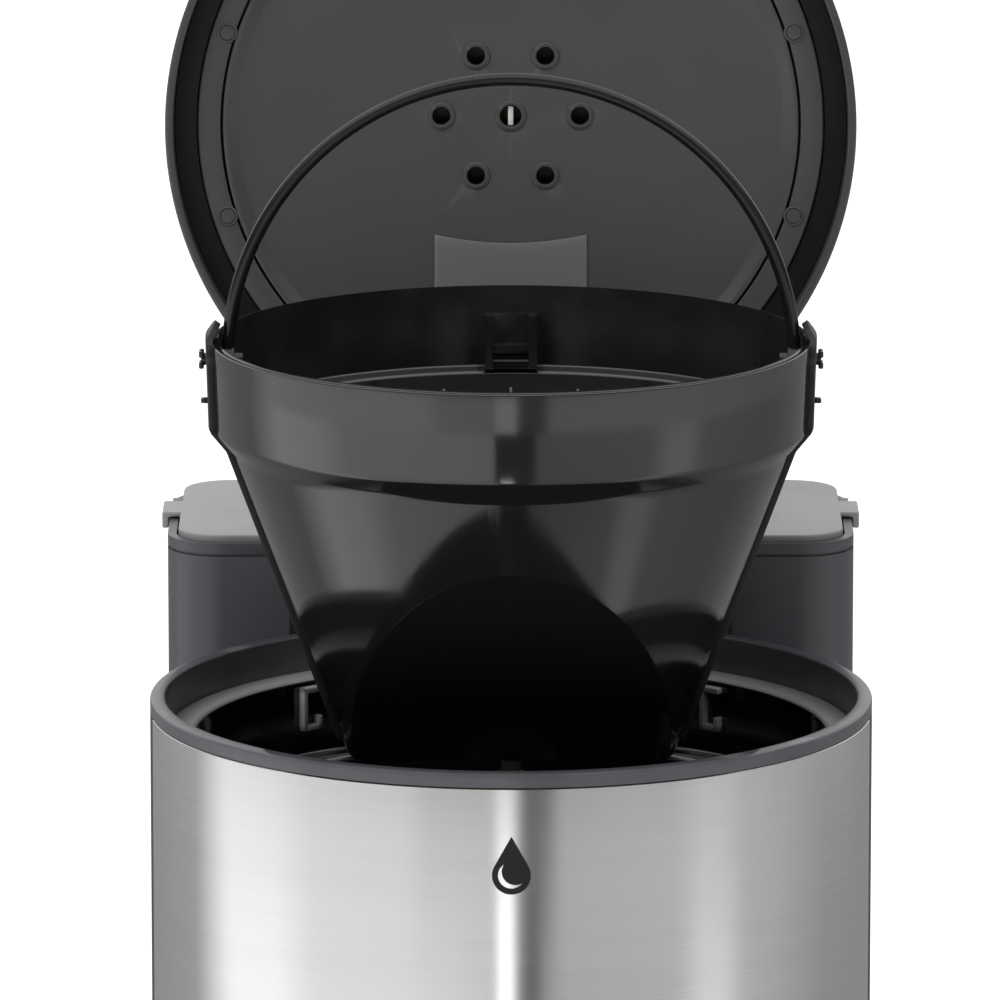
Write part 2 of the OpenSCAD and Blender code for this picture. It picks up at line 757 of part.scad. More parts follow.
chamber_low_r = collar_low_r - seat_step;
chamber_foot_r = chamber_low_r - cone_slope * (seat_z - 4 - chamber_floor_z);
module brew_chamber() {
    color("#141416") placed() difference() {
        union() {
            rotate_extrude() polygon([
                [drip_hole_r, chamber_floor_z], [chamber_foot_r + chamber_wall + 1, chamber_floor_z],
                [chamber_low_r + chamber_wall, seat_z - 4], [chamber_low_r + chamber_wall, seat_z - 2],
                [chamber_r + chamber_wall, seat_z - 2], [chamber_r + chamber_wall, ledge_z - 2],
                [ring_in_r - 0.1, ledge_z - 2], [ring_in_r - 0.1, ledge_z], [chamber_r, ledge_z],
                [chamber_r, seat_z], [chamber_low_r, seat_z], [chamber_low_r, seat_z - 4],
                [chamber_low_r - cone_slope * (seat_z - 4 - chamber_floor_z - chamber_wall),
                    chamber_floor_z + chamber_wall],
                [drip_hole_r, chamber_floor_z + chamber_wall]
            ]);
            for (s = [-1, 1]) guide_lug(s * 41);
        }
    }
}

module head_ring() {
    color("#5a5960") placed() rotate_extrude() polygon([
        [ring_in_r, ledge_z - 2.2], [ring_in_r + 0.7, ledge_z - 2.2], [ring_in_r + 0.7, ring_z],
        [body_r, ring_z], [body_r, head_top - 0.7], [body_r - 0.7, head_top], [ring_in_r + 0.6, head_top],
        [ring_in_r, head_top - 0.6]
    ]);
}

module hinge_block() {
    color("#38373c") placed() difference() {
        union() {
            for (s = [-1, 1]) translate([s * (knuckle_w / 2 + cheek_gap + cheek_w / 2) - cheek_w / 2, 0, 0]) {
                along_x(0, cheek_w, hinge_y, hinge_z, barrel_r);
                translate([0, hinge_y - barrel_r, head_top + 0.5]) cube([cheek_w, 2 * barrel_r, hinge_rise]);
            }
            translate([-block_half, hinge_y - 7, head_top - 4]) cube([2 * block_half, block_back - hinge_y + 7, 4.5]);
            for (s = [-1, 1]) translate([s * (block_half - 3) - 3, scoop_r + wall + 0.1, head_top - 4])
                cube([6, block_back - scoop_r - wall - 0.1, 4.5]);
            // heel that stops the open lid
            translate([-knuckle_w / 2, hinge_y + barrel_r + 0.4, head_top]) cube([knuckle_w, 1.1, 8]);
        }
        along_x(-60, 60, hinge_y, hinge_z, hinge_pin_d / 2 + run_gap);
        translate([0, 0, head_top - 20]) cylinder(r = scoop_r + wall + 0.1, h = 60);
    }
}

module hinge_pin() {
    color("#c8c8ca") placed() along_x(-block_half - 0.5, block_half + 0.5, hinge_y, hinge_z, hinge_pin_d / 2);
}

spout_y = body_r + 8;
module water_spout() {
    color("#3d3d42") placed() difference() {
        union() {
            translate([-7, scoop_r + wall + 0.2, head_top - 13.9]) cube([leg_x + 14, 12, 8]);
            translate([0, spout_y, head_top - 7]) cylinder(r = 4.4, h = 7.5);
            translate([leg_x, riser_y, head_top - 20]) cylinder(r = tube_bore - run_gap, h = 8);
        }
        translate([leg_x, riser_y, head_top - 21]) cylinder(r = 2, h = 11);
        along_x(-3, leg_x + 2, spout_y, head_top - 10, 2);
        translate([0, spout_y, head_top - 11]) cylinder(r = 2.6, h = 20);
    }
}

// ---- lid ----
neck_half = knuckle_w / 2;
skin = 2;
module lid_shell() {
    color("#3b3b3a") opened() difference() {
        union() {
            rotate_extrude() polygon([
                [lid_r - lid_wall, lid_z + 0.6], [lid_r - lid_wall + 0.6, lid_z], [lid_r - 0.6, lid_z],
                [lid_r, lid_z + 0.8], [lid_r, lid_top - 5], [lid_r - 1.2, lid_top - 2.2], [lid_r - 4, lid_top - 0.6],
                [lid_r - 12, lid_top], [0, lid_top], [0, lid_top - skin], [lid_r - 12, lid_top - skin],
                [lid_r - lid_wall - 1, lid_top - skin - 1.2], [lid_r - lid_wall, lid_top - skin - 3.4]
            ]);
            // wall behind the plates
            ring(plate_ring_r - 0.3, plate_ring_r - 2, plate_z + 3.1, lid_top - skin + 0.3);
            // neck, back to the hinge
            translate([-neck_half, lid_r - lid_wall + 0.1, lid_z + 3])
                cube([2 * neck_half, hinge_y - lid_r + lid_wall - 0.1, lid_top - lid_z - 8]);
            along_x(-neck_half, neck_half, hinge_y, hinge_z, barrel_r);
        }
        along_x(-60, 60, hinge_y, hinge_z, hinge_pin_d / 2 + run_gap);
        // bore that the water comes in by
        translate([0, spout_y, lid_z]) cylinder(r = 4, h = 10);
        along_y(plate_ring_r - 6, spout_y, 0, plate_z + 6.5, 2.6);
    }
}

module lid_seal() {
    color("#0a0a0a") opened() rotate_extrude() polygon([
        [plate_ring_r + 0.4, plate_z + 1.6], [lid_r - lid_wall - 0.2, plate_z + 1.6],
        [lid_r - lid_wall - 0.2, plate_z + 3.6], [plate_ring_r + 1.6, plate_z + 3.6]
    ]);
}

module lid_plate_ring() {
    color("#4b4b4b") opened() difference() {
        ring(plate_ring_r, plate_ring_r - plate_ring_w, plate_z, plate_z + 3);
        for (k = [0:9]) rotate([0, 0, 18 + 36 * k]) translate([stake_r, 0, plate_z - 1])
            cylinder(r = 1.5 + run_gap, h = 9);
    }
}

stake_r = plate_ring_r - plate_ring_w / 2 - 1;
module lid_stakes() {
    color("#454545") opened() for (k = [0:9]) rotate([0, 0, 18 + 36 * k]) translate([stake_r, 0, 0]) {
        translate([0, 0, plate_z - 0.4]) cylinder(r = 1.5, h = 5);
        translate([0, 0, plate_z - 0.5]) cylinder(r = 2.3, h = 0.45);
    }
}

shower_y = -2;
module lid_shower_plate() {
    spots = concat([[0, 0]], [for (k = [0:5]) [shower_r * cos(60 * k), shower_r * sin(60 * k)]]);
    color("#4d4d4d") opened() difference() {
        union() {
            rotate_extrude() polygon([
                [0, plate_z + dish], [shower_plate_r - 3.9, plate_z + 1.4], [shower_plate_r - 1.1, plate_z - 0.2],
                [shower_plate_r, plate_z - 0.2], [shower_plate_r, plate_z + 1.6 + shower_t],
                [0, plate_z + dish + shower_t]
            ]);
            for (p = spots) translate([p[0], p[1] + shower_y, plate_z + dish - 1.9])
                cylinder(r = shower_hole_d / 2 + 1.2, h = 2.5);
        }
        for (p = spots) translate([p[0], p[1] + shower_y, plate_z - 5]) cylinder(r = shower_hole_d / 2, h = 20);
        translate([0, shower_y, plate_z + dish - 2.2]) cylinder(r = shower_hole_d / 2 + 0.5, h = 1.6);
    }
}

duct_half = 19;
module lid_inlet_duct() {
    duct_front = shower_plate_r * 0.42;
    color("#5c5c5c") opened() difference() {
        translate([-duct_half, duct_front, plate_z + dish + shower_t + 0.1])
            cube([2 * duct_half, shower_plate_r - duct_front - 6, lid_top - skin - plate_z - dish - shower_t - 0.6]);
        translate([-duct_half + 1.6, duct_front - 1, plate_z + dish + shower_t + 1.6])
            cube([2 * duct_half - 3.2, shower_plate_r, 5]);
    }
}

// ---- basket ----
module basket_profile(t) {
    // outline of the basket's outside, drawn in by t
    cone_foot_r = cone_top_r - cone_slope * (collar_z - shoulder_drop - basket_z) - t;
    polygon([
        [0, basket_z + t], [cone_foot_r, basket_z + t], [cone_top_r - t, collar_z - shoulder_drop + t],
        [collar_low_r - t, collar_z + t], [collar_pivot_r - t, pivot_z - 2], [collar_pivot_r - t, pivot_z + 2],
        [basket_r - t, basket_top + (t > 0 ? 1 : 0)], [0, basket_top + (t > 0 ? 1 : 0)]
    ]);
}

// block between the slanted front and rear flats
module basket_wedge(t) {
    flat_z = basket_top - flat_start;
    flat_y = cone_top_r - cone_slope * (collar_z - shoulder_drop - flat_z);
    flat_slope = (flat_y - floor_half) / (flat_z - basket_z);
    low = basket_z - 5;
    high = basket_top + 5;
    low_y = floor_half - 5 * flat_slope - t;
    high_y = floor_half + (high - basket_z) * flat_slope - t;
    translate([-basket_r - 5, 0, 0]) rotate([90, 0, 90]) linear_extrude(2 * basket_r + 10)
        polygon([[-low_y, low], [low_y, low], [high_y, high], [-high_y, high]]);
}

module ear_plate(s) {
    x_out = basket_r + ear_t;
    x_in = basket_r - 4;
    top_r = ear_w / 2;
    translate([s > 0 ? x_in : -x_out, 0, 0]) rotate([90, 0, 90]) linear_extrude(x_out - x_in) union() {
        translate([0, basket_top + ear_rise - top_r]) circle(r = top_r);
        translate([-top_r, pivot_z - 6]) square([ear_w, ear_rise + pivot_drop + 6 - top_r]);
        translate([-pad_half, collar_z + 3]) square([2 * pad_half, collar_h - 6]);
    }
}

// raised rails that run down the cone under the ears
module basket_rails() {
    rail_half = pad_half - 1;
    rail_z = basket_z + 4;
    rail_top = collar_z - shoulder_drop - rail_t - 0.3;
    intersection() {
        rotate_extrude() basket_profile(-rail_t);
        translate([-basket_r, -rail_half, rail_z]) cube([2 * basket_r, 2 * rail_half, rail_top - rail_z]);
    }
}

module basket_shell() {
    color("#474747") placed() difference() {
        union() {
            intersection() {
                union() { rotate_extrude() basket_profile(0); basket_rails(); }
                basket_wedge(0);
            }
            intersection() {
                union() for (s = [-1, 1]) ear_plate(s);
                translate([0, 0, basket_z]) cylinder(r = basket_r + ear_t + 0.4, h = basket_h + ear_rise + 5);
            }
        }
        intersection() { rotate_extrude() basket_profile(basket_wall); basket_wedge(basket_wall * 1.35); }
        // the ears stay clear of the bail above the rim
        translate([0, 0, basket_top - 0.01]) cylinder(r = basket_r - basket_wall, h = ear_rise + 5);
        along_x(-basket_r - 5, basket_r + 5, 0, pivot_z, pivot_pin_d / 2 + run_gap);
        translate([0, 0, basket_z - 1]) cylinder(r = valve_stem_d / 2 + 2, h = 9);
    }
}

module filter_clip() {
    clip_y = collar_low_r - basket_wall - 0.5;
    color("#33333a") placed() difference() {
        union() {
            for (s = [-1, 1]) translate([s * 5.4 - 1.1, clip_y - 5, collar_z + 1.8]) cube([2.2, 5, 13.5]);
            translate([-4.3, clip_y - 4.6, collar_z + 1.8]) cube([8.6, 4.6, 6]);
            translate([-6.5, clip_y - 1, collar_z + 1.8]) cube([13, 1, 13.5]);
        }
        along_x(-4.4, 4.4, clip_y - 4.6, collar_z + 4.4, 1.4);
    }
}

pin_head_r = pivot_pin_d / 2 + 1;
pin_in_x = bail_r - bail_rod / 2 - 1.2;
module bail_pins() {
    color("#101012") placed() for (s = [-1, 1]) rotate([0, 0, s > 0 ? 0 : 180]) {
        along_x(pin_in_x, basket_r + ear_t + pin_head_t, 0, pivot_z, pivot_pin_d / 2);
        along_x(basket_r + ear_t + run_gap, basket_r + ear_t + pin_head_t, 0, pivot_z, pin_head_r);
        along_x(pin_in_x - 0.9, pin_in_x + 0.1, 0, pivot_z, pin_head_r);
    }
}

module bail_handle() {
    eye_w = bail_rod;
    color("#161618") placed() difference() {
        union() {
            translate([0, 0, pivot_z]) rotate([90, 0, 0]) rotate_extrude(angle = 180)
                translate([bail_r, 0]) circle(r = bail_rod / 2);
            for (s = [-1, 1])
                along_x(s * bail_r - eye_w / 2, s * bail_r + eye_w / 2, 0, pivot_z, pivot_pin_d / 2 + 1.7);
        }
        along_x(-basket_r, basket_r, 0, pivot_z, pivot_pin_d / 2 + run_gap);
    }
}

cage_r = 9.4;
cage_h = 13;
cage_z = basket_z + basket_wall + 0.05;
module valve_cage() {
    color("#e6e1d2") placed() difference() {
        translate([0, 0, cage_z]) cylinder(r = cage_r, h = cage_h);
        translate([0, 0, cage_z - 1]) cylinder(r = cage_r - 1.2, h = cage_h - 0.6);
        for (a = [0, 60, 120]) rotate([0, 0, a]) translate([-20, -2, cage_z + 1]) cube([40, 4, 5]);
        translate([0, 0, cage_z]) cylinder(r = 1.6, h = cage_h + 5);
    }
}

valve_head_z = cage_z + 1.25;
spring_top = cage_z + cage_h - 1.65;
spring_bottom = valve_head_z + 1.85;
spring_r = 5;

// closed coil of round wire, swept along its own helix
module valve_spring() {
    sides = 8;
    turns = 4;
    rings = 16 * turns;
    low = spring_bottom + spring_wire / 2;
    span = spring_top - spring_bottom - spring_wire;
    function at(i, j) = let (a = 360 * turns * i / rings, b = 360 * j / sides,
        rr = spring_r + spring_wire / 2 * cos(b))
        [rr * cos(a), rr * sin(a), low + span * i / rings + spring_wire / 2 * sin(b)];
    points = [for (i = [0:rings], j = [0:sides - 1]) at(i, j)];
    walls = [for (i = [0:rings - 1], j = [0:sides - 1]) let (k = (j + 1) % sides)
        [i * sides + j, (i + 1) * sides + j, (i + 1) * sides + k, i * sides + k]];
    caps = [[for (j = [0:sides - 1]) j], [for (j = [sides - 1:-1:0]) rings * sides + j]];
    color("#b5b8bb") placed() polyhedron(points, concat(walls, caps), convexity = 8);
}

module drip_valve() {
    tip_z = basket_z - 7.5;
    color("#d9d4c4") placed() {
        translate([0, 0, tip_z]) cylinder(r = valve_stem_d / 2, h = valve_head_z - tip_z + 0.5);
        translate([0, 0, valve_head_z]) cylinder(r = 7, h = 1.8);
        translate([0, 0, tip_z]) cylinder(r = valve_stem_d / 2 + 1.4, h = 1.8);
        translate([0, 0, valve_head_z + 1]) cylinder(r = 3.6, h = 3);
    }
}

module valve_seal() {
    color("#9c3f2e") placed() ring(7, valve_stem_d / 2 + 0.05, cage_z + 0.1, valve_head_z - 0.05);
}

// ---- jug ----
module jug_profile(t) {
    polygon([
        [0, jug_z + t], [jug_r - 12 - t / 2, jug_z + t], [jug_r - 5 - t, jug_z + 6], [jug_r - 1.2 - t, jug_z + 22],
        [jug_r - t, belly_z], [jug_r - 1.4 - t, belly_z + 20], [jug_r - 5 - t, belly_z + 34],
        [mouth_r + 1 - t, neck_z - 2],
        [mouth_r - t, neck_z + 2], [mouth_r - t, mouth_z - 3], [mouth_r + 1 - t, mouth_z],
        [mouth_r + 1 - t, mouth_z + (t > 0 ? 5 : 0)], [0, mouth_z + (t > 0 ? 5 : 0)]
    ]);
}

module jug_glass() {
    color("#cfe0e4", 0.4) placed() rotate_extrude() difference() { jug_profile(0); jug_profile(glass_t); }
}

band_z = neck_z + 2.4;
module jug_band() {
    color("#c9c9cb") placed() difference() {
        ring(mouth_r + 0.9, mouth_r + 0.1, band_z, band_z + band_h - 2.6);
        along_y(-mouth_r - 20, -mouth_r + 20, 0, band_z + 4.4, 2.1);
    }
}

module jug_handle() {
    grip = 11;
    y_out = front_y;
    y_in = -mouth_r - 1.1;
    top = mouth_z - 1.2;
    low = jug_z + 34;
    round_r = 14;
    color("#1d1d20") placed() difference() {
        translate([-handle_w / 2, 0, 0]) rotate([90, 0, 90]) linear_extrude(handle_w) difference() {
            union() {
                translate([y_out + round_r, low]) square([y_in - y_out - round_r, top - low]);
                translate([y_out, low + round_r]) square([20, top - low - 2 * round_r]);
                translate([y_out + round_r, top - round_r]) circle(r = round_r);
                translate([y_out + round_r, low + round_r]) circle(r = round_r);
            }
            translate([y_out + grip + 5, top - grip - 5]) circle(r = 5);
            translate([y_out + grip + 5, low + grip + 5]) circle(r = 5);
            translate([y_out + grip + 5, low - 1]) square([90, top - grip - low + 1]);
            translate([y_out + grip, low + grip + 5]) square([90, top - low - 2 * grip - 10]);
            translate([y_in - 6, low - 1]) square([90, top - low - band_h - 1]);
        }
        translate([0, 0, jug_z - 5]) cylinder(r = jug_r + 1.5, h = neck_z - jug_z);
        translate([0, 0, jug_z - 5]) cylinder(r = mouth_r + 1.1, h = 200);
        along_y(-mouth_r - 14, -mouth_r + 5, 0, band_z + 4.4, 2 + run_gap);
    }
}

module jug_screw() {
    color("#b8b8b8") placed() {
        along_y(-mouth_r - 12, -mouth_r - 0.05, 0, band_z + 4.4, 2);
    }
}

module jug_lid() {
    color("#1d1d20") placed() {
        difference() {
            union() {
                rotate_extrude() polygon([
                    [0, mouth_z + 2.6], [mouth_r - glass_t - 0.6, mouth_z + 2.6],
                    [mouth_r - glass_t - 0.6, mouth_z - 9], [mouth_r - glass_t - 0.4, mouth_z - 9], [mouth_r - glass_t - 0.4, mouth_z + slide_gap],
                    [mouth_r + 1, mouth_z + slide_gap], [mouth_r + 1, mouth_z + 5], [mouth_r - 3, jug_top - 2.6],
                    [26, jug_top], [20, jug_top], [14, jug_top - 4], [0, jug_top - 4.6]
                ]);
                ring(mouth_r - glass_t - 0.6, mouth_r - glass_t - 3, mouth_z - 9, mouth_z + 4);
            }
            cylinder(r = 5, h = 400);
            translate([0, 0, mouth_z - 10]) rotate([0, 0, 75]) translate([0, -3, 0]) cube([90, 6, 10.5]);
        }
        translate([-3, -mouth_r + 8, jug_top - 6]) cube([6, 24, 4.5]);
    }
}

module jug_lid_seal() {
    color("#2a2a2a") placed() ring(mouth_r - glass_t - 3.1, mouth_r - glass_t - 5, mouth_z - 8, mouth_z - 4);
}

rubber_feet();
base_plate();
base_screws();
base_housing();
base_sleeve();
cord_gland();
warming_plate();
plate_seal();
heater_tube();
heating_element();
heater_clamp();
clamp_screw();
thermostat();
control_board();
switch_body();
button_bezel();
power_button();
indicator_lens();
cold_hose();
check_valve();
feed_hose();
riser_tube();
tower_housing();
level_window();
water_tank();
outlet_screen();
tank_cover();
head_housing();
head_screws();
head_sleeve();
emblem();
head_bottom();
brew_chamber();
head_ring();
hinge_block();
hinge_pin();
water_spout();
lid_shell();
lid_seal();
lid_plate_ring();
lid_stakes();
lid_shower_plate();
lid_inlet_duct();
basket_shell();
filter_clip();
bail_pins();
valve_cage();
valve_spring();
drip_valve();
valve_seal();
bail_handle();
jug_glass();
jug_band();
jug_handle();
jug_screw();
jug_lid();
jug_lid_seal();
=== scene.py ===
"""Looks of a drip coffee maker with an open lid and a lifted filter basket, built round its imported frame."""
import json
import math

import bmesh
import bpy
from bpy.props import FloatProperty, FloatVectorProperty, IntProperty, PointerProperty
from bpy.types import Operator, Panel, PropertyGroup
from mathutils import Matrix, Vector


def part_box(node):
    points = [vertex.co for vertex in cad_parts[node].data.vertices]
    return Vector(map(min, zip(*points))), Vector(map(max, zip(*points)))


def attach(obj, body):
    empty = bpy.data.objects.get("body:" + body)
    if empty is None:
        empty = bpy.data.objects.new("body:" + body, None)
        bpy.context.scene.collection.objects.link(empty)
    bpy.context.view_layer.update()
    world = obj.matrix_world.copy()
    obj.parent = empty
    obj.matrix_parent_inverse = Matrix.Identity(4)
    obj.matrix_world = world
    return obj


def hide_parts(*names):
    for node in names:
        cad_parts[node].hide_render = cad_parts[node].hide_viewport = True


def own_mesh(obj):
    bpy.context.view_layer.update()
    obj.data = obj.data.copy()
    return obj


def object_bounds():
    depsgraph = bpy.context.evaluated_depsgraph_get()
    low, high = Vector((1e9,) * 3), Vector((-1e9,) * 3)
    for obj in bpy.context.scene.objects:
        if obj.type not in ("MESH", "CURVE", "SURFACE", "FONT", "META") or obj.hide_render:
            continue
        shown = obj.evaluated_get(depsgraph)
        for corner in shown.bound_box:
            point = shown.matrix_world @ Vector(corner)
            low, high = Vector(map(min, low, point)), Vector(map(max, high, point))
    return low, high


bl_info = {
    "name": "Drip Coffee Maker",
    "version": (1, 0, 0),
    "blender": (4, 5, 0),
    "location": "3D View > Sidebar > Coffee Maker",
    "description": "Builds the pieces, finishes and stage of a drip coffee maker",
    "category": "Object",
}

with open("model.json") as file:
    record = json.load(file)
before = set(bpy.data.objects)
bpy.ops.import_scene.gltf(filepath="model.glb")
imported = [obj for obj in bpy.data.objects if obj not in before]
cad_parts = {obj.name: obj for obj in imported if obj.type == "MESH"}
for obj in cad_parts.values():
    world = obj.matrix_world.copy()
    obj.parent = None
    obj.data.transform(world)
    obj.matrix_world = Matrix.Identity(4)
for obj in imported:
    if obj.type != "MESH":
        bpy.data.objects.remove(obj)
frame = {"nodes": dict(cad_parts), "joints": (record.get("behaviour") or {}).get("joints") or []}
CAD_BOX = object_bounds()
MM = 0.001


# ---- places, all taken from the frame ----

def turned_box(node, turn):
    """Lowest and highest corner of a CAD node after it is turned by a matrix."""
    points = [turn @ v.co for v in frame["nodes"][node].data.vertices]
    lows = Vector([min(p[k] for p in points) for k in range(3)])
    highs = Vector([max(p[k] for p in points) for k in range(3)])
    return lows, highs


def joint(name):
    return next(j for j in frame["joints"] if j["name"] == name)


RING_LOW, RING_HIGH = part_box("head_ring")
AXIS_Y = (RING_LOW.y + RING_HIGH.y) / 2
BODY_R = (RING_HIGH.x - RING_LOW.x) / 2
HEAD_TOP = RING_HIGH.z
HINGE = Vector(joint("lid_hinge")["pos_m"])
LID_ANGLE = math.radians(joint("lid_hinge")["range_deg"][1])
OPENED = Matrix.Translation(HINGE) @ Matrix.Rotation(-LID_ANGLE, 4, "X") @ Matrix.Translation(-HINGE)
CLOSED = OPENED.inverted()
PIVOT = Vector(joint("bail_fold")["pos_m"])


# ---- sizes and colours that a user would change ----

def length(name, description, default):
    return FloatProperty(name=name, description=description, default=default * MM, min=0, subtype="DISTANCE", unit="LENGTH")


def colour(name, description, default):
    return FloatVectorProperty(name=name, description=description, default=default, size=3, min=0, max=1, subtype="COLOR")


class CoffeeShape(PropertyGroup):
    """Sizes of the details that finish the shapes."""
    round_steps: IntProperty(name="Round steps", description="Steps in a full turn of a round piece", default=224, min=32, max=512)
    edge_round: length("Edge round", "Round on the edges of the moulded housings", 0.6)
    small_round: length("Small round", "Round on the edges of small pieces", 0.25)
    basket_round: length("Basket round", "Round at the foot of the basket's collar", 1.4)
    rib_count: IntProperty(name="Rib count", description="Ribs round the inside of the basket's cone", default=24, min=6, max=48)
    rib_width: length("Rib width", "Width of a rib in the basket", 0.9)
    rib_length: length("Rib length", "Length of a rib in the basket", 20)
    stake_count: IntProperty(name="Stake count", description="Round marks on the lid's plate ring", default=10, min=4, max=20)
    pad_width: length("Pad width", "Width of the raised pad where the water comes into the lid", 38.5)


class CoffeeColours(PropertyGroup):
    """Colours of the finishes."""
    steel: colour("Steel", "Brushed steel of the body", (0.74, 0.74, 0.735))
    anthracite: colour("Anthracite", "Moulded tower and ring", (0.058, 0.056, 0.066))
    cover: colour("Cover", "Flat cover of the tank", (0.26, 0.26, 0.26))
    basket: colour("Basket", "Glossy filter basket", (0.0075, 0.0075, 0.0075))
    chamber: colour("Chamber", "Glossy brew chamber", (0.004, 0.004, 0.004))
    lid: colour("Lid", "Rim of the lid", (0.05, 0.05, 0.048))
    lid_plate: colour("Lid plates", "Plates inside the lid", (0.062, 0.062, 0.061))
    housing: colour("Housings", "Dark plastic housings", (0.02, 0.02, 0.022))
    bail: colour("Bail", "Bail and its pins", (0.006, 0.006, 0.006))
    glass: colour("Glass", "Glass of the jug", (0.93, 0.97, 0.97))


class CoffeeStage(PropertyGroup):
    """Camera, world and floor."""
    lens: FloatProperty(name="Lens", description="Focal length of the camera", default=369, min=20, max=800, unit="CAMERA")
    distance: FloatProperty(name="Distance", description="Distance of the camera from its aim", default=2.49, min=0.5, subtype="DISTANCE", unit="LENGTH")
    elevation: FloatProperty(name="Elevation", description="Angle of the camera above the horizon", default=math.radians(11.42), subtype="ANGLE", unit="ROTATION")
    aim_rise: length("Aim rise", "Height of the aim above the ring", 48.1)
    aim_side: FloatProperty(name="Aim side", description="Sideways place of the aim", default=-2.7 * MM, subtype="DISTANCE", unit="LENGTH")
    backdrop: FloatProperty(name="Backdrop", description="Brightness of what the camera sees behind the object", default=1.0, min=0)
    floor_size: FloatProperty(name="Floor size", description="Side of the floor", default=40, min=1, subtype="DISTANCE", unit="LENGTH")


def shape():
    return bpy.context.scene.coffee_shape


def colours():
    return bpy.context.scene.coffee_colours


# ---- mesh helpers ----

def finish_mesh(bm, name, body, smooth=35, merge=1e-7):
    """Merges doubles, turns faces outwards, shades by angle and rides the piece on its body."""
    bmesh.ops.remove_doubles(bm, verts=bm.verts[:], dist=merge)
    bmesh.ops.recalc_face_normals(bm, faces=bm.faces[:])
    return make_piece(bm, name, body, smooth)


def make_piece(bm, name, body, smooth=35):
    mesh = bpy.data.meshes.new(name)
    bm.to_mesh(mesh)
    bm.free()
    piece = bpy.data.objects.new(name, mesh)
    bpy.context.scene.collection.objects.link(piece)
    mesh.shade_smooth()
    if smooth:
        mesh.set_sharp_from_angle(angle=math.radians(smooth))
    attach(piece, body)
    return piece


def stroke(bm, profile, closed, axis_y=AXIS_Y):
    """A wire of (radius, height, fillet) points, in millimetres, in the plane of the axis."""
    verts = [bm.verts.new((p[0] * MM, axis_y, p[1] * MM)) for p in profile]
    edges = [bm.edges.new(pair) for pair in zip(verts, verts[1:])]
    if closed:
        edges.append(bm.edges.new((verts[-1], verts[0])))
    fillets = {}
    for vert, point in zip(verts, profile):
        if len(point) > 2 and point[2]:
            fillets.setdefault(point[2], []).append(vert)
    for width, corners in fillets.items():
        bmesh.ops.bevel(bm, geom=corners, offset=width * MM, offset_type="OFFSET", affect="VERTICES",
                        segments=4, profile=0.5, material=-1, clamp_overlap=True)
    parts = set()
    front = [v for v in verts if v.is_valid] or bm.verts[-1:]
    stack = front[:]
    while stack:
        vert = stack.pop()
        if vert in parts:
            continue
        parts.add(vert)
        stack.extend(e.other_vert(vert) for e in vert.link_edges)
    wires = {e for v in parts for e in v.link_edges}
    return list(parts) + list(wires)


def turn_profile(bm, profile, closed=False, steps=None, centre=(0, AXIS_Y), angle=math.tau):
    """Spins a profile about an upright axis."""
    geom = stroke(bm, profile, closed, centre[1])
    if centre[0]:
        bmesh.ops.translate(bm, verts=[g for g in geom if isinstance(g, bmesh.types.BMVert)], vec=(centre[0], 0, 0))
    whole = abs(angle - math.tau) < 1e-6
    before = set(bm.verts)
    bmesh.ops.spin(bm, geom=geom, cent=(centre[0], centre[1], 0), axis=(0, 0, 1), angle=angle,
                   steps=steps or shape().round_steps, use_merge=whole)
    made = [v for v in bm.verts if v not in before] + [g for g in geom if isinstance(g, bmesh.types.BMVert) and g.is_valid]
    return made


def turned_piece(name, body, profile, closed=True, steps=None, centre=(0, AXIS_Y), matrix=None, smooth=35):
    bm = bmesh.new()
    turn_profile(bm, profile, closed, steps, centre)
    bmesh.ops.remove_doubles(bm, verts=bm.verts[:], dist=1e-7)
    if matrix:
        bmesh.ops.transform(bm, matrix=matrix, verts=bm.verts[:])
    return finish_mesh(bm, name, body, smooth)


def copy_of(node, name, body, width, segments=3, angle=28, smooth=32):
    """A copy of a CAD node with its loose triangles merged and its hard edges rounded."""
    bm = bmesh.new()
    bm.from_mesh(frame["nodes"][node].data)
    bmesh.ops.remove_doubles(bm, verts=bm.verts[:], dist=2e-6)
    bmesh.ops.dissolve_limit(bm, angle_limit=math.radians(0.6), verts=bm.verts[:], edges=bm.edges[:],
                             use_dissolve_boundaries=False, delimit=set())
    piece = make_piece(bm, name, body, smooth)
    if width:
        bevel = piece.modifiers.new("Rounded edges", "BEVEL")
        bevel.width = width
        bevel.segments = segments
        bevel.limit_method = "ANGLE"
        bevel.angle_limit = math.radians(angle)
        bevel.harden_normals = True
        bevel.use_clamp_overlap = True
    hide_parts(node)
    return piece


def block(bm, lows, highs, width=0.0, segments=2, matrix=None):
    """A rounded block between two corners."""
    made = bmesh.ops.create_cube(bm, size=1)["verts"]
    lows, highs = Vector(lows), Vector(highs)
    bmesh.ops.scale(bm, vec=highs - lows, verts=made)
    bmesh.ops.translate(bm, vec=(lows + highs) / 2, verts=made)
    if matrix:
        bmesh.ops.transform(bm, matrix=matrix, verts=made)
    if width:
        edges = list({e for v in made for e in v.link_edges})
        bmesh.ops.bevel(bm, geom=edges, offset=width, offset_type="OFFSET", affect="EDGES", segments=segments,
                        profile=0.5, material=-1, clamp_overlap=True)


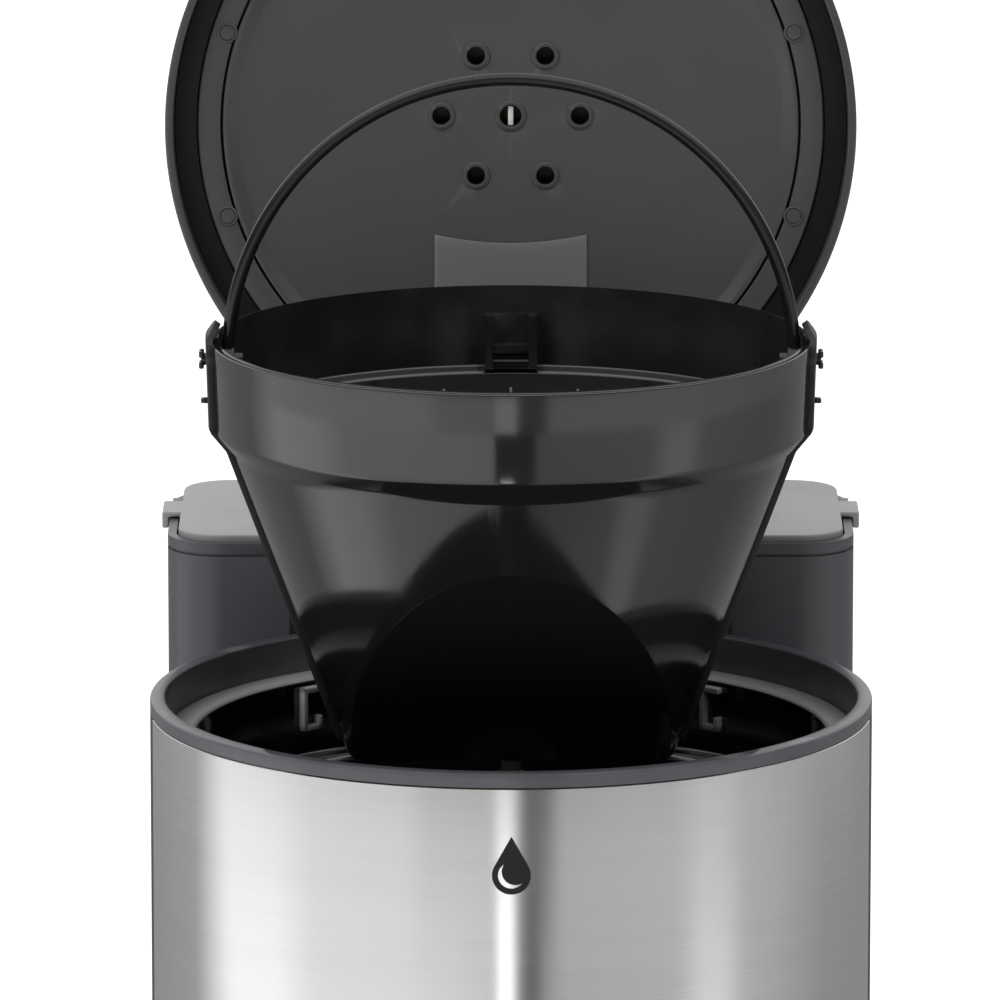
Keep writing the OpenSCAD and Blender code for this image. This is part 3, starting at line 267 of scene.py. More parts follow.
def rod(bm, centre, radius, ends, axis="X", segments=32, rim=0.0):
    """A rounded round bar along X or Y, from ends[0] to ends[1]."""
    turn = Matrix.Rotation(math.pi / 2, 4, "Y" if axis == "X" else "X")
    made = bmesh.ops.create_cone(bm, cap_ends=True, segments=segments, radius1=radius, radius2=radius,
                                 depth=ends[1] - ends[0])["verts"]
    if rim:
        caps = [e for e in {e for v in made for e in v.link_edges} if abs(e.verts[0].co.z - e.verts[1].co.z) < 1e-9]
        grown = bmesh.ops.bevel(bm, geom=caps, offset=rim, offset_type="OFFSET", affect="EDGES", segments=2,
                                profile=0.5, material=-1, clamp_overlap=True)
        made = list({v for v in made if v.is_valid} | set(grown["verts"]))
    middle = (ends[0] + ends[1]) / 2
    place = Vector(centre)
    place[0 if axis == "X" else 1] = middle
    bmesh.ops.transform(bm, matrix=Matrix.Translation(place) @ turn, verts=made)


def drill(piece, holes):
    """Cuts round holes, each (centre, direction matrix, radius, depth), through a piece for good."""
    bm = bmesh.new()
    for matrix, radius, depth in holes:
        made = bmesh.ops.create_cone(bm, cap_ends=True, segments=48, radius1=radius, radius2=radius, depth=depth)["verts"]
        bmesh.ops.transform(bm, matrix=matrix, verts=made)
    mesh = bpy.data.meshes.new("drill")
    bm.to_mesh(mesh)
    bm.free()
    cutter = bpy.data.objects.new("drill", mesh)
    bpy.context.scene.collection.objects.link(cutter)
    cut = piece.modifiers.new("Holes", "BOOLEAN")
    cut.operation, cut.solver, cut.object = "DIFFERENCE", "EXACT", cutter
    graph = bpy.context.evaluated_depsgraph_get()
    done = bpy.data.meshes.new_from_object(piece.evaluated_get(graph))
    piece.modifiers.remove(cut)
    old = piece.data
    piece.data = done
    bpy.data.meshes.remove(old)
    bpy.data.objects.remove(cutter)
    done.shade_smooth()
    done.set_sharp_from_angle(angle=math.radians(30))


def add_round_uv(piece):
    """UV map that runs round the body along U and up it along V, for the brushing."""
    mesh = piece.data
    layer = mesh.uv_layers.new(name="Brushing")
    for loop in mesh.loops:
        p = mesh.vertices[loop.vertex_index].co
        turn = math.atan2(p.x, AXIS_Y - p.y)
        layer.data[loop.index].uv = (0.5 + turn / math.tau, p.z)


# ---- shared effects ----

def group(name, inputs, outputs):
    """A shader node group with named sockets."""
    tree = bpy.data.node_groups.new(name, "ShaderNodeTree")
    for label, kind, value in inputs:
        socket = tree.interface.new_socket(name=label, in_out="INPUT", socket_type=kind)
        socket.default_value = value
    for label, kind in outputs:
        tree.interface.new_socket(name=label, in_out="OUTPUT", socket_type=kind)
    return tree, tree.nodes.new("NodeGroupInput").outputs, tree.nodes.new("NodeGroupOutput").inputs


def put(value, socket, tree):
    if isinstance(value, bpy.types.NodeSocket):
        tree.links.new(value, socket)
    else:
        socket.default_value = value


def maths(tree, operation, a, b=0.0, c=0.0, clamp=False):
    node = tree.nodes.new("ShaderNodeMath")
    node.operation, node.use_clamp = operation, clamp
    for socket, value in zip(node.inputs, (a, b, c)):
        put(value, socket, tree)
    return node.outputs[0]


def spread(tree, value, low, high, to_low=0.0, to_high=1.0):
    node = tree.nodes.new("ShaderNodeMapRange")
    node.interpolation_type = "SMOOTHSTEP"
    for socket, v in zip(node.inputs, (value, low, high, to_low, to_high)):
        put(v, socket, tree)
    return node.outputs[0]


def noise(tree, vector, scale, detail=3.0, rough=0.5):
    node = tree.nodes.new("ShaderNodeTexNoise")
    tree.links.new(vector, node.inputs["Vector"])
    put(scale, node.inputs["Scale"], tree)
    node.inputs["Detail"].default_value = detail
    node.inputs["Roughness"].default_value = rough
    return node.outputs["Fac"]


def mixed(tree, factor, a, b, kind="MIX"):
    node = tree.nodes.new("ShaderNodeMix")
    node.data_type, node.blend_type = "RGBA", kind
    put(factor, node.inputs[0], tree)
    put(a, node.inputs[6], tree)
    put(b, node.inputs[7], tree)
    return node.outputs[2]


def object_points(tree):
    return tree.nodes.new("ShaderNodeTexCoord").outputs["Object"]


def moulded_group():
    """Fine moulded grain, cloudy wipe marks, and paler edges that are partly wear and partly a painted edge highlight.
    """
    tree, given, out = group("Moulded Surface", [
        ("Colour", "NodeSocketColor", (0.1, 0.1, 0.1, 1)), ("Roughness", "NodeSocketFloat", 0.3),
        ("Grain", "NodeSocketFloat", 0.3), ("Wipe Marks", "NodeSocketFloat", 0.06),
        ("Edge", "NodeSocketFloat", 0.5), ("Edge Wear And Highlight", "NodeSocketFloat", 0.25),
    ], [("Colour", "NodeSocketColor"), ("Roughness", "NodeSocketFloat"), ("Height", "NodeSocketFloat")])
    place = object_points(tree)
    clouds = noise(tree, place, 14, 4, 0.55)
    wipes = noise(tree, place, 55, 5, 0.6)
    grain = noise(tree, place, 3600, 2, 0.5)
    pits = noise(tree, place, 1300, 2, 0.5)
    shade = spread(tree, clouds, 0.3, 0.7, 0.98, 1.02)
    tone = mixed(tree, 1.0, given["Colour"], shade, "MULTIPLY")
    # Pointy edges are mixed toward pale grey: partly edge wear, partly a painted highlight along the edges.
    edge_wear_and_highlight = maths(tree, "MULTIPLY", spread(tree, given["Edge"], 0.505, 0.56), given["Edge Wear And Highlight"])
    edge_wear_and_highlight = maths(tree, "MULTIPLY", edge_wear_and_highlight, spread(tree, wipes, 0.35, 0.65, 0.5, 1.0))
    tree.links.new(mixed(tree, edge_wear_and_highlight, tone, (0.35, 0.35, 0.36, 1)), out["Colour"])
    haze = maths(tree, "MULTIPLY", spread(tree, wipes, 0.4, 0.75, -0.35, 1.0), given["Wipe Marks"])
    tree.links.new(maths(tree, "ADD", given["Roughness"], haze, clamp=True), out["Roughness"])
    height = maths(tree, "MULTIPLY_ADD", grain, 0.6, maths(tree, "MULTIPLY", pits, 0.4))
    tree.links.new(maths(tree, "MULTIPLY", height, given["Grain"]), out["Height"])
    return tree


def brushed_group():
    """Hair lines that run level round the body, with faint finger marks."""
    tree, given, out = group("Brushed Round Steel", [
        ("Colour", "NodeSocketColor", (0.6, 0.6, 0.6, 1)), ("Roughness", "NodeSocketFloat", 0.3),
        ("Axis Y", "NodeSocketFloat", 0.0), ("Lines", "NodeSocketFloat", 1.0),
    ], [("Colour", "NodeSocketColor"), ("Roughness", "NodeSocketFloat"), ("Height", "NodeSocketFloat")])
    split = tree.nodes.new("ShaderNodeSeparateXYZ")
    tree.links.new(object_points(tree), split.inputs[0])
    depth = maths(tree, "SUBTRACT", given["Axis Y"], split.outputs["Y"])
    turn = maths(tree, "ARCTAN2", split.outputs["X"], depth)
    join = tree.nodes.new("ShaderNodeCombineXYZ")
    tree.links.new(maths(tree, "MULTIPLY", turn, 1.6), join.inputs["X"])
    tree.links.new(maths(tree, "MULTIPLY", split.outputs["Z"], 2400), join.inputs["Z"])
    lines = noise(tree, join.outputs[0], 2.0, 6, 0.72)
    broad = tree.nodes.new("ShaderNodeCombineXYZ")
    tree.links.new(maths(tree, "MULTIPLY", turn, 0.7), broad.inputs["X"])
    tree.links.new(maths(tree, "MULTIPLY", split.outputs["Z"], 150), broad.inputs["Z"])
    bands = noise(tree, broad.outputs[0], 1.0, 4, 0.6)
    marks = noise(tree, object_points(tree), 18, 4, 0.6)
    tone = maths(tree, "ADD", spread(tree, lines, 0.25, 0.75, 0.94, 1.05), spread(tree, bands, 0.3, 0.7, -0.015, 0.015))
    tree.links.new(mixed(tree, 1.0, given["Colour"], tone, "MULTIPLY"), out["Colour"])
    gloss = maths(tree, "MULTIPLY", spread(tree, lines, 0.2, 0.8, -0.03, 0.04), given["Lines"])
    gloss = maths(tree, "ADD", gloss, spread(tree, marks, 0.5, 0.8, 0.0, 0.05))
    tree.links.new(maths(tree, "ADD", given["Roughness"], gloss, clamp=True), out["Roughness"])
    tree.links.new(maths(tree, "MULTIPLY", lines, given["Lines"]), out["Height"])
    return tree


def metal_group():
    """Turned or pressed metal with a soft mottle."""
    tree, given, out = group("Pressed Metal", [
        ("Colour", "NodeSocketColor", (0.6, 0.6, 0.6, 1)), ("Roughness", "NodeSocketFloat", 0.3),
        ("Mottle", "NodeSocketFloat", 0.1),
    ], [("Colour", "NodeSocketColor"), ("Roughness", "NodeSocketFloat"), ("Height", "NodeSocketFloat")])
    place = object_points(tree)
    mottle = noise(tree, place, 160, 5, 0.6)
    scratch = noise(tree, place, 1500, 3, 0.6)
    shade = maths(tree, "MULTIPLY_ADD", spread(tree, mottle, 0.3, 0.7, -1.0, 1.0), given["Mottle"], 1.0)
    tree.links.new(mixed(tree, 1.0, given["Colour"], shade, "MULTIPLY"), out["Colour"])
    tree.links.new(maths(tree, "MULTIPLY_ADD", spread(tree, scratch, 0.3, 0.7, -0.5, 1.0), given["Mottle"],
                         given["Roughness"], clamp=True), out["Roughness"])
    tree.links.new(scratch, out["Height"])
    return tree


GROUPS = {}


def shared(name):
    if name not in GROUPS:
        GROUPS[name] = {"moulded": moulded_group, "brushed": brushed_group, "metal": metal_group}[name]()
    return GROUPS[name]


def surface(name, effect, values, bump, constants):
    """A material whose shader takes colour, roughness and relief from a shared effect."""
    material = bpy.data.materials.new(name)
    material.use_nodes = True
    tree = material.node_tree
    tree.nodes.clear()
    shader = tree.nodes.new("ShaderNodeBsdfPrincipled")
    end = tree.nodes.new("ShaderNodeOutputMaterial")
    tree.links.new(shader.outputs[0], end.inputs[0])
    worker = tree.nodes.new("ShaderNodeGroup")
    worker.node_tree = shared(effect)
    for label, value in values.items():
        worker.inputs[label].default_value = value
    if "Edge" in worker.inputs:
        tree.links.new(tree.nodes.new("ShaderNodeNewGeometry").outputs["Pointiness"], worker.inputs["Edge"])
    tree.links.new(worker.outputs["Colour"], shader.inputs["Base Color"])
    tree.links.new(worker.outputs["Roughness"], shader.inputs["Roughness"])
    relief = tree.nodes.new("ShaderNodeBump")
    relief.inputs["Strength"].default_value = bump[0]
    relief.inputs["Distance"].default_value = bump[1]
    tree.links.new(worker.outputs["Height"], relief.inputs["Height"])
    tree.links.new(relief.outputs[0], shader.inputs["Normal"])
    for label, value in constants.items():
        shader.inputs[label].default_value = value
    return material, tree, shader


def rgba(value):
    return (*value, 1.0)


def plastic(name, tone, rough, grain=0.3, wipe=0.05, wear_plus_highlight=0.15, strength=0.25, **constants):
    # The edge value lightens pointy edges: partly wear, partly a painted edge highlight.
    values = {"Colour": rgba(tone), "Roughness": rough, "Grain": grain, "Wipe Marks": wipe, "Edge Wear And Highlight": wear_plus_highlight}
    return surface(name, "moulded", values, (strength, 0.00006), constants)[0]


def metal(name, tone, rough, mottle=0.1, **constants):
    values = {"Colour": rgba(tone), "Roughness": rough, "Mottle": mottle}
    return surface(name, "metal", values, (0.12, 0.00004), {"Metallic": 1.0, **constants})[0]


def brushed_steel():
    values = {"Colour": rgba(colours().steel), "Roughness": 0.21, "Axis Y": AXIS_Y, "Lines": 1.0}
    material, tree, shader = surface("Brushed steel", "brushed", values, (0.05, 0.00002),
                                     {"Metallic": 1.0, "Anisotropic": 0.85, "Anisotropic Rotation": 0.25})
    along = tree.nodes.new("ShaderNodeTangent")
    along.direction_type, along.uv_map = "UV_MAP", "Brushing"
    tree.links.new(along.outputs[0], shader.inputs["Tangent"])
    return material


def clear(name, tone, rough, ior=1.5):
    material = bpy.data.materials.new(name)
    material.use_nodes = True
    tree = material.node_tree
    shader = tree.nodes["Principled BSDF"]
    shader.inputs["Transmission Weight"].default_value = 1.0
    shader.inputs["IOR"].default_value = ior
    marks = noise(tree, object_points(tree), 30, 4, 0.6)
    tree.links.new(spread(tree, marks, 0.45, 0.8, rough, rough + 0.05), shader.inputs["Roughness"])
    tree.links.new(mixed(tree, spread(tree, marks, 0.3, 0.8), rgba(tone), rgba([c * 0.97 for c in tone])), shader.inputs["Base Color"])
    return material


MATERIALS = {}


def build_materials():
    c = colours()
    gloss = {"Specular IOR Level": 1.0}
    MATERIALS.update({
        "steel": brushed_steel(),
        "anthracite": plastic("Anthracite plastic", c.anthracite, 0.36, 0.5, 0.03, 0.0),
        "ring": plastic("Ring plastic", c.anthracite, 0.3, 0.35, 0.05, 0.3),
        "cover": plastic("Cover plastic", c.cover, 0.42, 0.6, 0.03, 0.0),
        "basket": plastic("Basket plastic", c.basket, 0.1, 0.12, 0.05, 0.05, 0.12, **gloss),
        "guards": plastic("Basket guard plastic", c.basket, 0.5, 0.5, 0.06, 0.04),
        "chamber": plastic("Chamber plastic", c.chamber, 0.1, 0.06, 0.03, 0.03, 0.08, **gloss),
        # Pale grey for the chamber's black ledge: a painted highlight on the same glossy black plastic.
        "ledge": plastic("Ledge painted highlight plastic", (0.36, 0.36, 0.365), 0.3, 0.2, 0.04, 0.03, 0.1, **{"Specular IOR Level": 1.0}),
        # Light grey for the guide lugs in the black chamber: a painted highlight.
        "guide": plastic("Guide plastic with painted highlight", (0.4, 0.4, 0.4), 0.35, 0.2, 0.04, 0.1),
        "lid": plastic("Lid plastic", c.lid, 0.38, 0.4, 0.05, 0.12),
        "lid_plate": plastic("Lid plate plastic", c.lid_plate, 0.3, 0.25, 0.07, 0.12),
        "lid_pad": plastic("Lid pad plastic", (0.13, 0.13, 0.13), 0.3, 0.25, 0.05, 0.12),
        "housing": plastic("Housing plastic", c.housing, 0.42, 0.6, 0.03, 0.0),
        "bail": plastic("Bail plastic", c.bail, 0.2, 0.1, 0.05, 0.05),
        "rubber": plastic("Rubber", (0.012, 0.012, 0.012), 0.75, 0.9, 0.06, 0.05),
        "seal": plastic("Silicone seal", (0.006, 0.006, 0.006), 0.55, 0.4, 0.04, 0.0),
        "enamel": plastic("Plate enamel", (0.035, 0.035, 0.037), 0.33, 0.7, 0.08, 0.2, 0.5),
        "white": plastic("White plastic", (0.72, 0.7, 0.64), 0.4, 0.4, 0.05, 0.1),
        "hose": plastic("Hose silicone", (0.3, 0.32, 0.33), 0.45, 0.3, 0.05, 0.0),
        "tank": plastic("Tank plastic", (0.16, 0.17, 0.19), 0.25, 0.2, 0.05, 0.05),
        "board": plastic("Circuit board", (0.03, 0.15, 0.06), 0.4, 0.5, 0.05, 0.0),
        "ceramic": plastic("Ceramic", (0.75, 0.72, 0.64), 0.35, 0.5, 0.05, 0.0),
        "red_seal": plastic("Red silicone", (0.33, 0.05, 0.03), 0.5, 0.4, 0.05, 0.0),
        "print": plastic("Printed ink", (0.003, 0.003, 0.003), 0.5, 0.3, 0.02, 0.0),
        "bright": metal("Bright steel", (0.62, 0.62, 0.62), 0.28),
        "aluminium": metal("Aluminium", (0.7, 0.71, 0.73), 0.42, 0.18),
        "element": metal("Oxidised steel", (0.16, 0.15, 0.15), 0.5, 0.25),
        "band": metal("Band steel", (0.66, 0.66, 0.66), 0.22),
        "glass": clear("Jug glass", c.glass, 0.0),
        "window": clear("Window plastic", (0.75, 0.84, 0.88), 0.12, 1.45),
        "lens": clear("Lamp lens", (0.85, 0.92, 0.96), 0.1, 1.45),
    })


CAD_FINISHES = {
    "rubber_feet": "rubber", "base_plate": "housing", "base_screws": "bright", "base_housing": "housing",
    "base_sleeve": "steel", "cord_gland": "rubber", "warming_plate": "enamel", "plate_seal": "seal",
    "heater_tube": "aluminium", "heating_element": "element", "heater_clamp": "bright", "clamp_screw": "bright",
    "thermostat": "ceramic", "control_board": "board", "switch_body": "housing", "button_bezel": "ring",
    "power_button": "bail", "indicator_lens": "lens", "cold_hose": "hose", "check_valve": "white",
    "feed_hose": "hose", "riser_tube": "hose", "tower_housing": "anthracite", "level_window": "window",
    "water_tank": "tank", "outlet_screen": "bright", "tank_cover": "cover", "head_housing": "housing",
    "head_screws": "bright", "head_sleeve": "steel", "emblem": "print", "head_bottom": "housing",
    "brew_chamber": "chamber", "head_ring": "ring", "hinge_block": "anthracite", "hinge_pin": "bright",
    "water_spout": "white", "lid_shell": "lid", "lid_seal": "seal", "lid_plate_ring": "lid_plate",
    "lid_stakes": "lid_plate", "lid_shower_plate": "lid_plate", "lid_inlet_duct": "lid_pad", "basket_shell": "basket",
    "filter_clip": "bail", "bail_pins": "bail", "valve_cage": "white", "valve_spring": "bright",
    "drip_valve": "white", "valve_seal": "red_seal", "bail_handle": "bail", "jug_glass": "glass",
    "jug_band": "band", "jug_handle": "housing", "jug_screw": "bright", "jug_lid": "housing", "jug_lid_seal": "seal",
}


def paint(piece, finish):
    piece.data.materials.clear()
    piece.data.materials.append(MATERIALS[finish])


def dress(piece, finish):
    paint(piece, finish)


def paint_frame():
    """Every CAD node gets its finish in place of the plain one."""
    for node, finish in CAD_FINISHES.items():
        thing = frame["nodes"][node]
        if not thing.material_slots:
            thing.data.materials.append(MATERIALS[finish])
        for socket in thing.material_slots:
            socket.material = MATERIALS[finish]


# ---- operators, one for each piece or group of like pieces ----

class Maker(Operator):
    """Shared base: runs build and reports that it is done."""
    bl_options = {"REGISTER", "UNDO"}

    def execute(self, context):
        self.build()
        return {"FINISHED"}


class COFFEE_OT_finishes(Maker):
    """Makes the materials and paints the CAD nodes"""
    bl_idname = "coffee.finishes"
    bl_label = "Finishes"

    def build(self):
        build_materials()
        paint_frame()


class COFFEE_OT_steel_sleeves(Maker):
    """Brushed steel sleeves round the head and the base"""
    bl_idname = "coffee.steel_sleeves"
    bl_label = "Steel sleeves"

    def build(self):
        for node, name in (("head_sleeve", "head_sleeve_brushed"), ("base_sleeve", "base_sleeve_brushed")):
            lows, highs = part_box(node)
            outer = BODY_R / MM
            inner = outer - 0.7
            low, high = lows.z / MM, highs.z / MM
            half = math.acos(max(-1.0, min(1.0, -(highs.y - AXIS_Y) / BODY_R)))
            bm = bmesh.new()
            geom = stroke(bm, [(outer, low, 0.2), (outer, high, 0.2), (inner, high), (inner, low)], True)
            bmesh.ops.rotate(bm, cent=(0, AXIS_Y, 0), matrix=Matrix.Rotation(-math.pi / 2 - half, 3, "Z"),
                             verts=[g for g in geom if isinstance(g, bmesh.types.BMVert)])
            first = [g for g in geom if isinstance(g, bmesh.types.BMEdge)]
            made = bmesh.ops.spin(bm, geom=geom, cent=(0, AXIS_Y, 0), axis=(0, 0, 1), angle=2 * half,
                                  steps=180, use_merge=False)
            last = [g for g in made["geom_last"] if isinstance(g, bmesh.types.BMEdge)]
            bmesh.ops.contextual_create(bm, geom=first)
            bmesh.ops.contextual_create(bm, geom=last)
            piece = finish_mesh(bm, name, "root")
            if node == "base_sleeve":
                holes = []
                for part in ("button_bezel", "indicator_lens"):
                    part_low, part_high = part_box(part)
                    middle = (part_low + part_high) / 2
                    radius = (part_high.z - part_low.z) / 2 + (0.05 if part == "button_bezel" else -0.95) * MM
                    turn = math.atan2(middle.x, AXIS_Y - middle.y)
                    face = Matrix.Rotation(turn, 4, "Z") @ Matrix.Rotation(math.pi / 2, 4, "X")
                    spot = Vector((math.sin(turn) * BODY_R, AXIS_Y - math.cos(turn) * BODY_R, middle.z))
                    holes.append((Matrix.Translation(spot) @ face, radius, 0.02))
                drill(piece, holes)
            add_round_uv(piece)
            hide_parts(node)
            dress(piece, "steel")


class COFFEE_OT_head(Maker):
    """Housing, ring and brew chamber of the head"""
    bl_idname = "coffee.head"
    bl_label = "Head"

    def build(self):
        s = shape()
        dress(copy_of("head_housing", "head_housing_shell", "root", s.small_round), "housing")
        top, band, width = HEAD_TOP / MM, 3.5, 3.8
        body = BODY_R / MM
        inner = body - width
        low = RING_LOW.z / MM
        ring = turned_piece("head_ring_round", "root", [
            (inner, low), (inner + 0.7, low), (inner + 0.7, top - band), (body, top - band, 0.3),
            (body, top, 0.75), (inner, top, 0.6),
        ])
        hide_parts("head_ring")
        dress(ring, "ring")
        lows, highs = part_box("brew_chamber")
        ledge = highs.z / MM
        outer = (highs.x - lows.x) / 2 / MM
        wall = inner - 7.2
        floor = lows.z / MM
        seat = ledge - 19.5
        low_r = wall - 5.5
        slope = 0.372
        foot = low_r - slope * (seat - 4 - floor - 2)
        chamber = turned_piece("brew_chamber_bowl", "root", [
            (12, floor, 0.4), (foot + 2, floor, 2), (low_r + 2, seat - 4, 2), (low_r + 2, seat - 2, 0.5),
            (wall + 2, seat - 2, 1), (wall + 2, ledge - 2, 0.5), (outer, ledge - 2, 0.3), (outer, ledge, 0.3),
            (wall, ledge, 1.2), (wall, seat, 0.8), (low_r, seat, 2.2), (low_r, seat - 4, 1.5), (foot, floor + 2, 2),
            (12, floor + 2, 0.4),
        ])
        # Small C-shaped lugs in the chamber, painted light grey as a painted highlight.
        bm = bmesh.new()
        for side in (-1, 1):
            turn = Matrix.Translation((0, AXIS_Y, 0)) @ Matrix.Rotation(math.radians(side * 41), 4, "Z")
            for low_x, high_x, low_z, high_z in ((-3, -1.6, -6, 5), (-3, 3, -6, -4.5), (-3, 3, 3.5, 5), (1.6, 3, -6, -2.5)):
                block(bm, (low_x * MM, (wall - 2.0) * MM, (ledge - 7 + low_z) * MM),
                      (high_x * MM, (wall + 0.3) * MM, (ledge - 7 + high_z) * MM), 0.3 * MM, 2, turn)
        guides = make_piece(bm, "chamber_guides", "root", 40)
        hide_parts("brew_chamber")
        dress(guides, "guide")
        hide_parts("brew_chamber")
        dress(chamber, "chamber")
        # Up-facing faces at the top of the ledge get the pale grey, a painted highlight on the black chamber.
        chamber.data.materials.append(MATERIALS["ledge"])
        for face in chamber.data.polygons:
            middle = face.center
            if face.normal.z > 0.5 and middle.z > (ledge - 1) * MM:
                face.material_index = 1


class COFFEE_OT_tower(Maker):
    """Tower, hinge block and the sliding cover of the tank"""
    bl_idname = "coffee.tower"
    bl_label = "Tower and cover"

    def build(self):
        s = shape()
        dress(copy_of("tower_housing", "tower_shell", "root", 0.45 * MM, 3, 35), "anthracite")
        dress(copy_of("hinge_block", "hinge_block_round", "root", s.small_round, 2, 35), "anthracite")
        dress(copy_of("tank_cover", "tank_cover_round", "cover", 0.5 * MM, 3, 35), "cover")
        dress(copy_of("water_tank", "water_tank_shell", "root", s.small_round, 2, 35), "tank")


class COFFEE_OT_base(Maker):
    """Base housing, feet, cord gland and warming plate"""
    bl_idname = "coffee.base"
    bl_label = "Base"

    def build(self):
        s = shape()
        dress(copy_of("base_housing", "base_shell", "root", s.edge_round, 3, 35), "housing")
        dress(copy_of("rubber_feet", "rubber_feet_round", "root", 0.8 * MM, 3, 35), "rubber")
        dress(copy_of("cord_gland", "cord_gland_round", "root", s.small_round, 2, 35), "rubber")
        dress(copy_of("button_bezel", "button_bezel_round", "root", s.small_round, 2, 35), "ring")
        dress(copy_of("power_button", "power_button_round", "button", 0.5 * MM, 3, 35), "bail")
        lows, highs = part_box("warming_plate")
        edge, top, low = (highs.x - lows.x) / 2 / MM, highs.z / MM, lows.z / MM
        rings = [(0, top)]
        for radius in (18, 34, 50):
            rings += [(radius - 1, top), (radius - 0.5, top - 0.35), (radius + 0.5, top - 0.35), (radius + 1, top)]
        plate = turned_piece("warming_plate_enamelled", "root", rings + [
            (edge, top, 0.8), (edge, top - 1.6, 0.3), (edge - 2.4, top - 1.6), (edge - 2.4, low), (edge - 4, low),
            (edge - 4, top - 1.6), (0, top - 1.6),
        ], closed=False, smooth=60)
        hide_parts("warming_plate")
        dress(plate, "enamel")


class COFFEE_OT_basket(Maker):
    """Filter basket with its collar, wedge flats, ribs and side guards"""
    bl_idname = "coffee.basket"
    bl_label = "Filter basket"

    def build(self):
        s = shape()
        lows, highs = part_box("basket_shell")
        floor = lows.z / MM
        rim = PIVOT.z / MM + 5
        radius, wall, collar, drop = 72.65, 1.6, 21.7, 4.6
        slope = 0.372
        low_r = radius - 0.65
        cone_r = low_r - 3.8
        foot = cone_r - slope * (rim - collar - drop - floor)
        skirt = s.basket_round / MM

        bm = bmesh.new()
        outer = turn_profile(bm, [
            (0, floor), (foot, floor, 1.2), (cone_r, rim - collar - drop, skirt), (low_r, rim - collar, skirt * 0.6),
            (radius, rim, 0.0),
        ])
        self.cut_flats(bm, floor, rim, cone_r, slope, 0.0)
        outside = set(bm.verts)
        ledge = rim - 20
        liner = cone_r - wall + 0.2
        inner = turn_profile(bm, [
            (0, floor + wall), (foot - wall, floor + wall, 1.0), (liner - 1.2, rim - collar - drop - 2, 0), (liner, ledge - 0.6, 0.8),
            (low_r - wall + 0.2, ledge, 0.5), (radius - wall, rim - 0.2, 0.0),
        ])
        self.cut_flats(bm, floor, rim, cone_r, slope, wall * 1.35, [v for v in bm.verts if v not in outside])
        bmesh.ops.remove_doubles(bm, verts=bm.verts[:], dist=1e-7)
        rims = [e for e in bm.edges if e.is_boundary and min(v.co.z for v in e.verts) > (rim - 1) * MM]
        bmesh.ops.bridge_loops(bm, edges=rims)
        lip = [e for e in bm.edges if min(v.co.z for v in e.verts) > (rim - 0.5) * MM
               and len(e.link_faces) == 2 and e.calc_face_angle(0) > math.radians(40)]
        bmesh.ops.bevel(bm, geom=lip, offset=0.5 * MM, offset_type="OFFSET", affect="EDGES", segments=3,
                        profile=0.5, material=-1, clamp_overlap=True)
        bmesh.ops.recalc_face_normals(bm, faces=bm.faces[:])
        self.add_ribs(bm, rim, liner, slope, ledge)
        bowl = make_piece(bm, "basket_bowl", "basket", 26)
        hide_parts("basket_shell")
        dress(bowl, "basket")

        guards = self.guards(floor, rim, radius, low_r, cone_r, collar, drop, slope)
        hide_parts("basket_shell")
        dress(guards, "guards")
        dress(copy_of("filter_clip", "filter_clip_round", "basket", s.small_round, 2, 35), "bail")
        self.spring()

    def spring(self):
        """The valve's spring, a copy of its CAD node in bright steel with a mesh of its own."""
        coil = copy_of("valve_spring", "valve_spring_coil", "basket", 0)
        dress(coil, "bright")
        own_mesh(coil)

    def cut_flats(self, bm, floor, rim, cone_r, slope, inset, verts=None):
        """Slices the slanted front and rear flats off the cone and closes them."""
        flat_z = rim - 46
        flat_y = cone_r - slope * (rim - 21.7 - 4.6 - flat_z)
        lean = (flat_y - 12) / (flat_z - floor)
        for side in (-1, 1):
            normal = Vector((0, side, -lean)).normalized()
            point = Vector((0, AXIS_Y + side * (12 - inset) * MM, floor * MM))
            pool = [v for v in (bm.verts[:] if verts is None else verts) if v.is_valid]
            known = set(pool)
            if verts is not None:
                edges = [e for e in bm.edges if e.verts[0] in known or e.verts[1] in known]
                faces = [f for f in bm.faces if f.verts[0] in known]
            else:
                edges, faces = bm.edges[:], bm.faces[:]
            cut = bmesh.ops.bisect_plane(bm, geom=pool + edges + faces, dist=1e-7, plane_co=point, plane_no=normal,
                                         clear_outer=True, clear_inner=False)
            edge_loop = [e for e in cut["geom_cut"] if isinstance(e, bmesh.types.BMEdge) and e.is_boundary]
            face = bmesh.ops.contextual_create(bm, geom=edge_loop)["faces"]
            if verts is None:
                crease = [e for f in face for e in f.edges]
                bmesh.ops.bevel(bm, geom=crease, offset=1.2 * MM, offset_type="OFFSET", affect="EDGES", segments=3,
                                profile=0.5, material=-1, clamp_overlap=True)
            if verts is not None:
                verts = [v for v in verts if v.is_valid] + [g for g in cut["geom_cut"] if isinstance(g, bmesh.types.BMVert)]

    def add_ribs(self, bm, rim, liner, slope, ledge):
        """Low ribs that keep the paper off the wall."""
        s = shape()
        lean = math.atan(slope)
        for k in range(s.rib_count):
            turn = Matrix.Translation((0, AXIS_Y, 0)) @ Matrix.Rotation(math.tau * k / s.rib_count, 4, "Z")
            tilt = Matrix.Translation((0, (liner - 1.4) * MM, (ledge - 4.5) * MM)) @ Matrix.Rotation(-lean, 4, "X")
            block(bm, (-s.rib_width / 2, -1.2 * MM, -s.rib_length), (s.rib_width / 2, 0.9 * MM, 0), 0.4 * MM, 2, turn @ tilt)

    def guards(self, floor, rim, radius, low_r, cone_r, collar, drop, slope):
        """Ears and the rails that run down from them, one band on each side."""
        bm = bmesh.new()
        ear_top, ear_half, pad_half, rail_half = rim + 4.5, 8.5, 9.5, 8.5
        cap = ear_top - ear_half

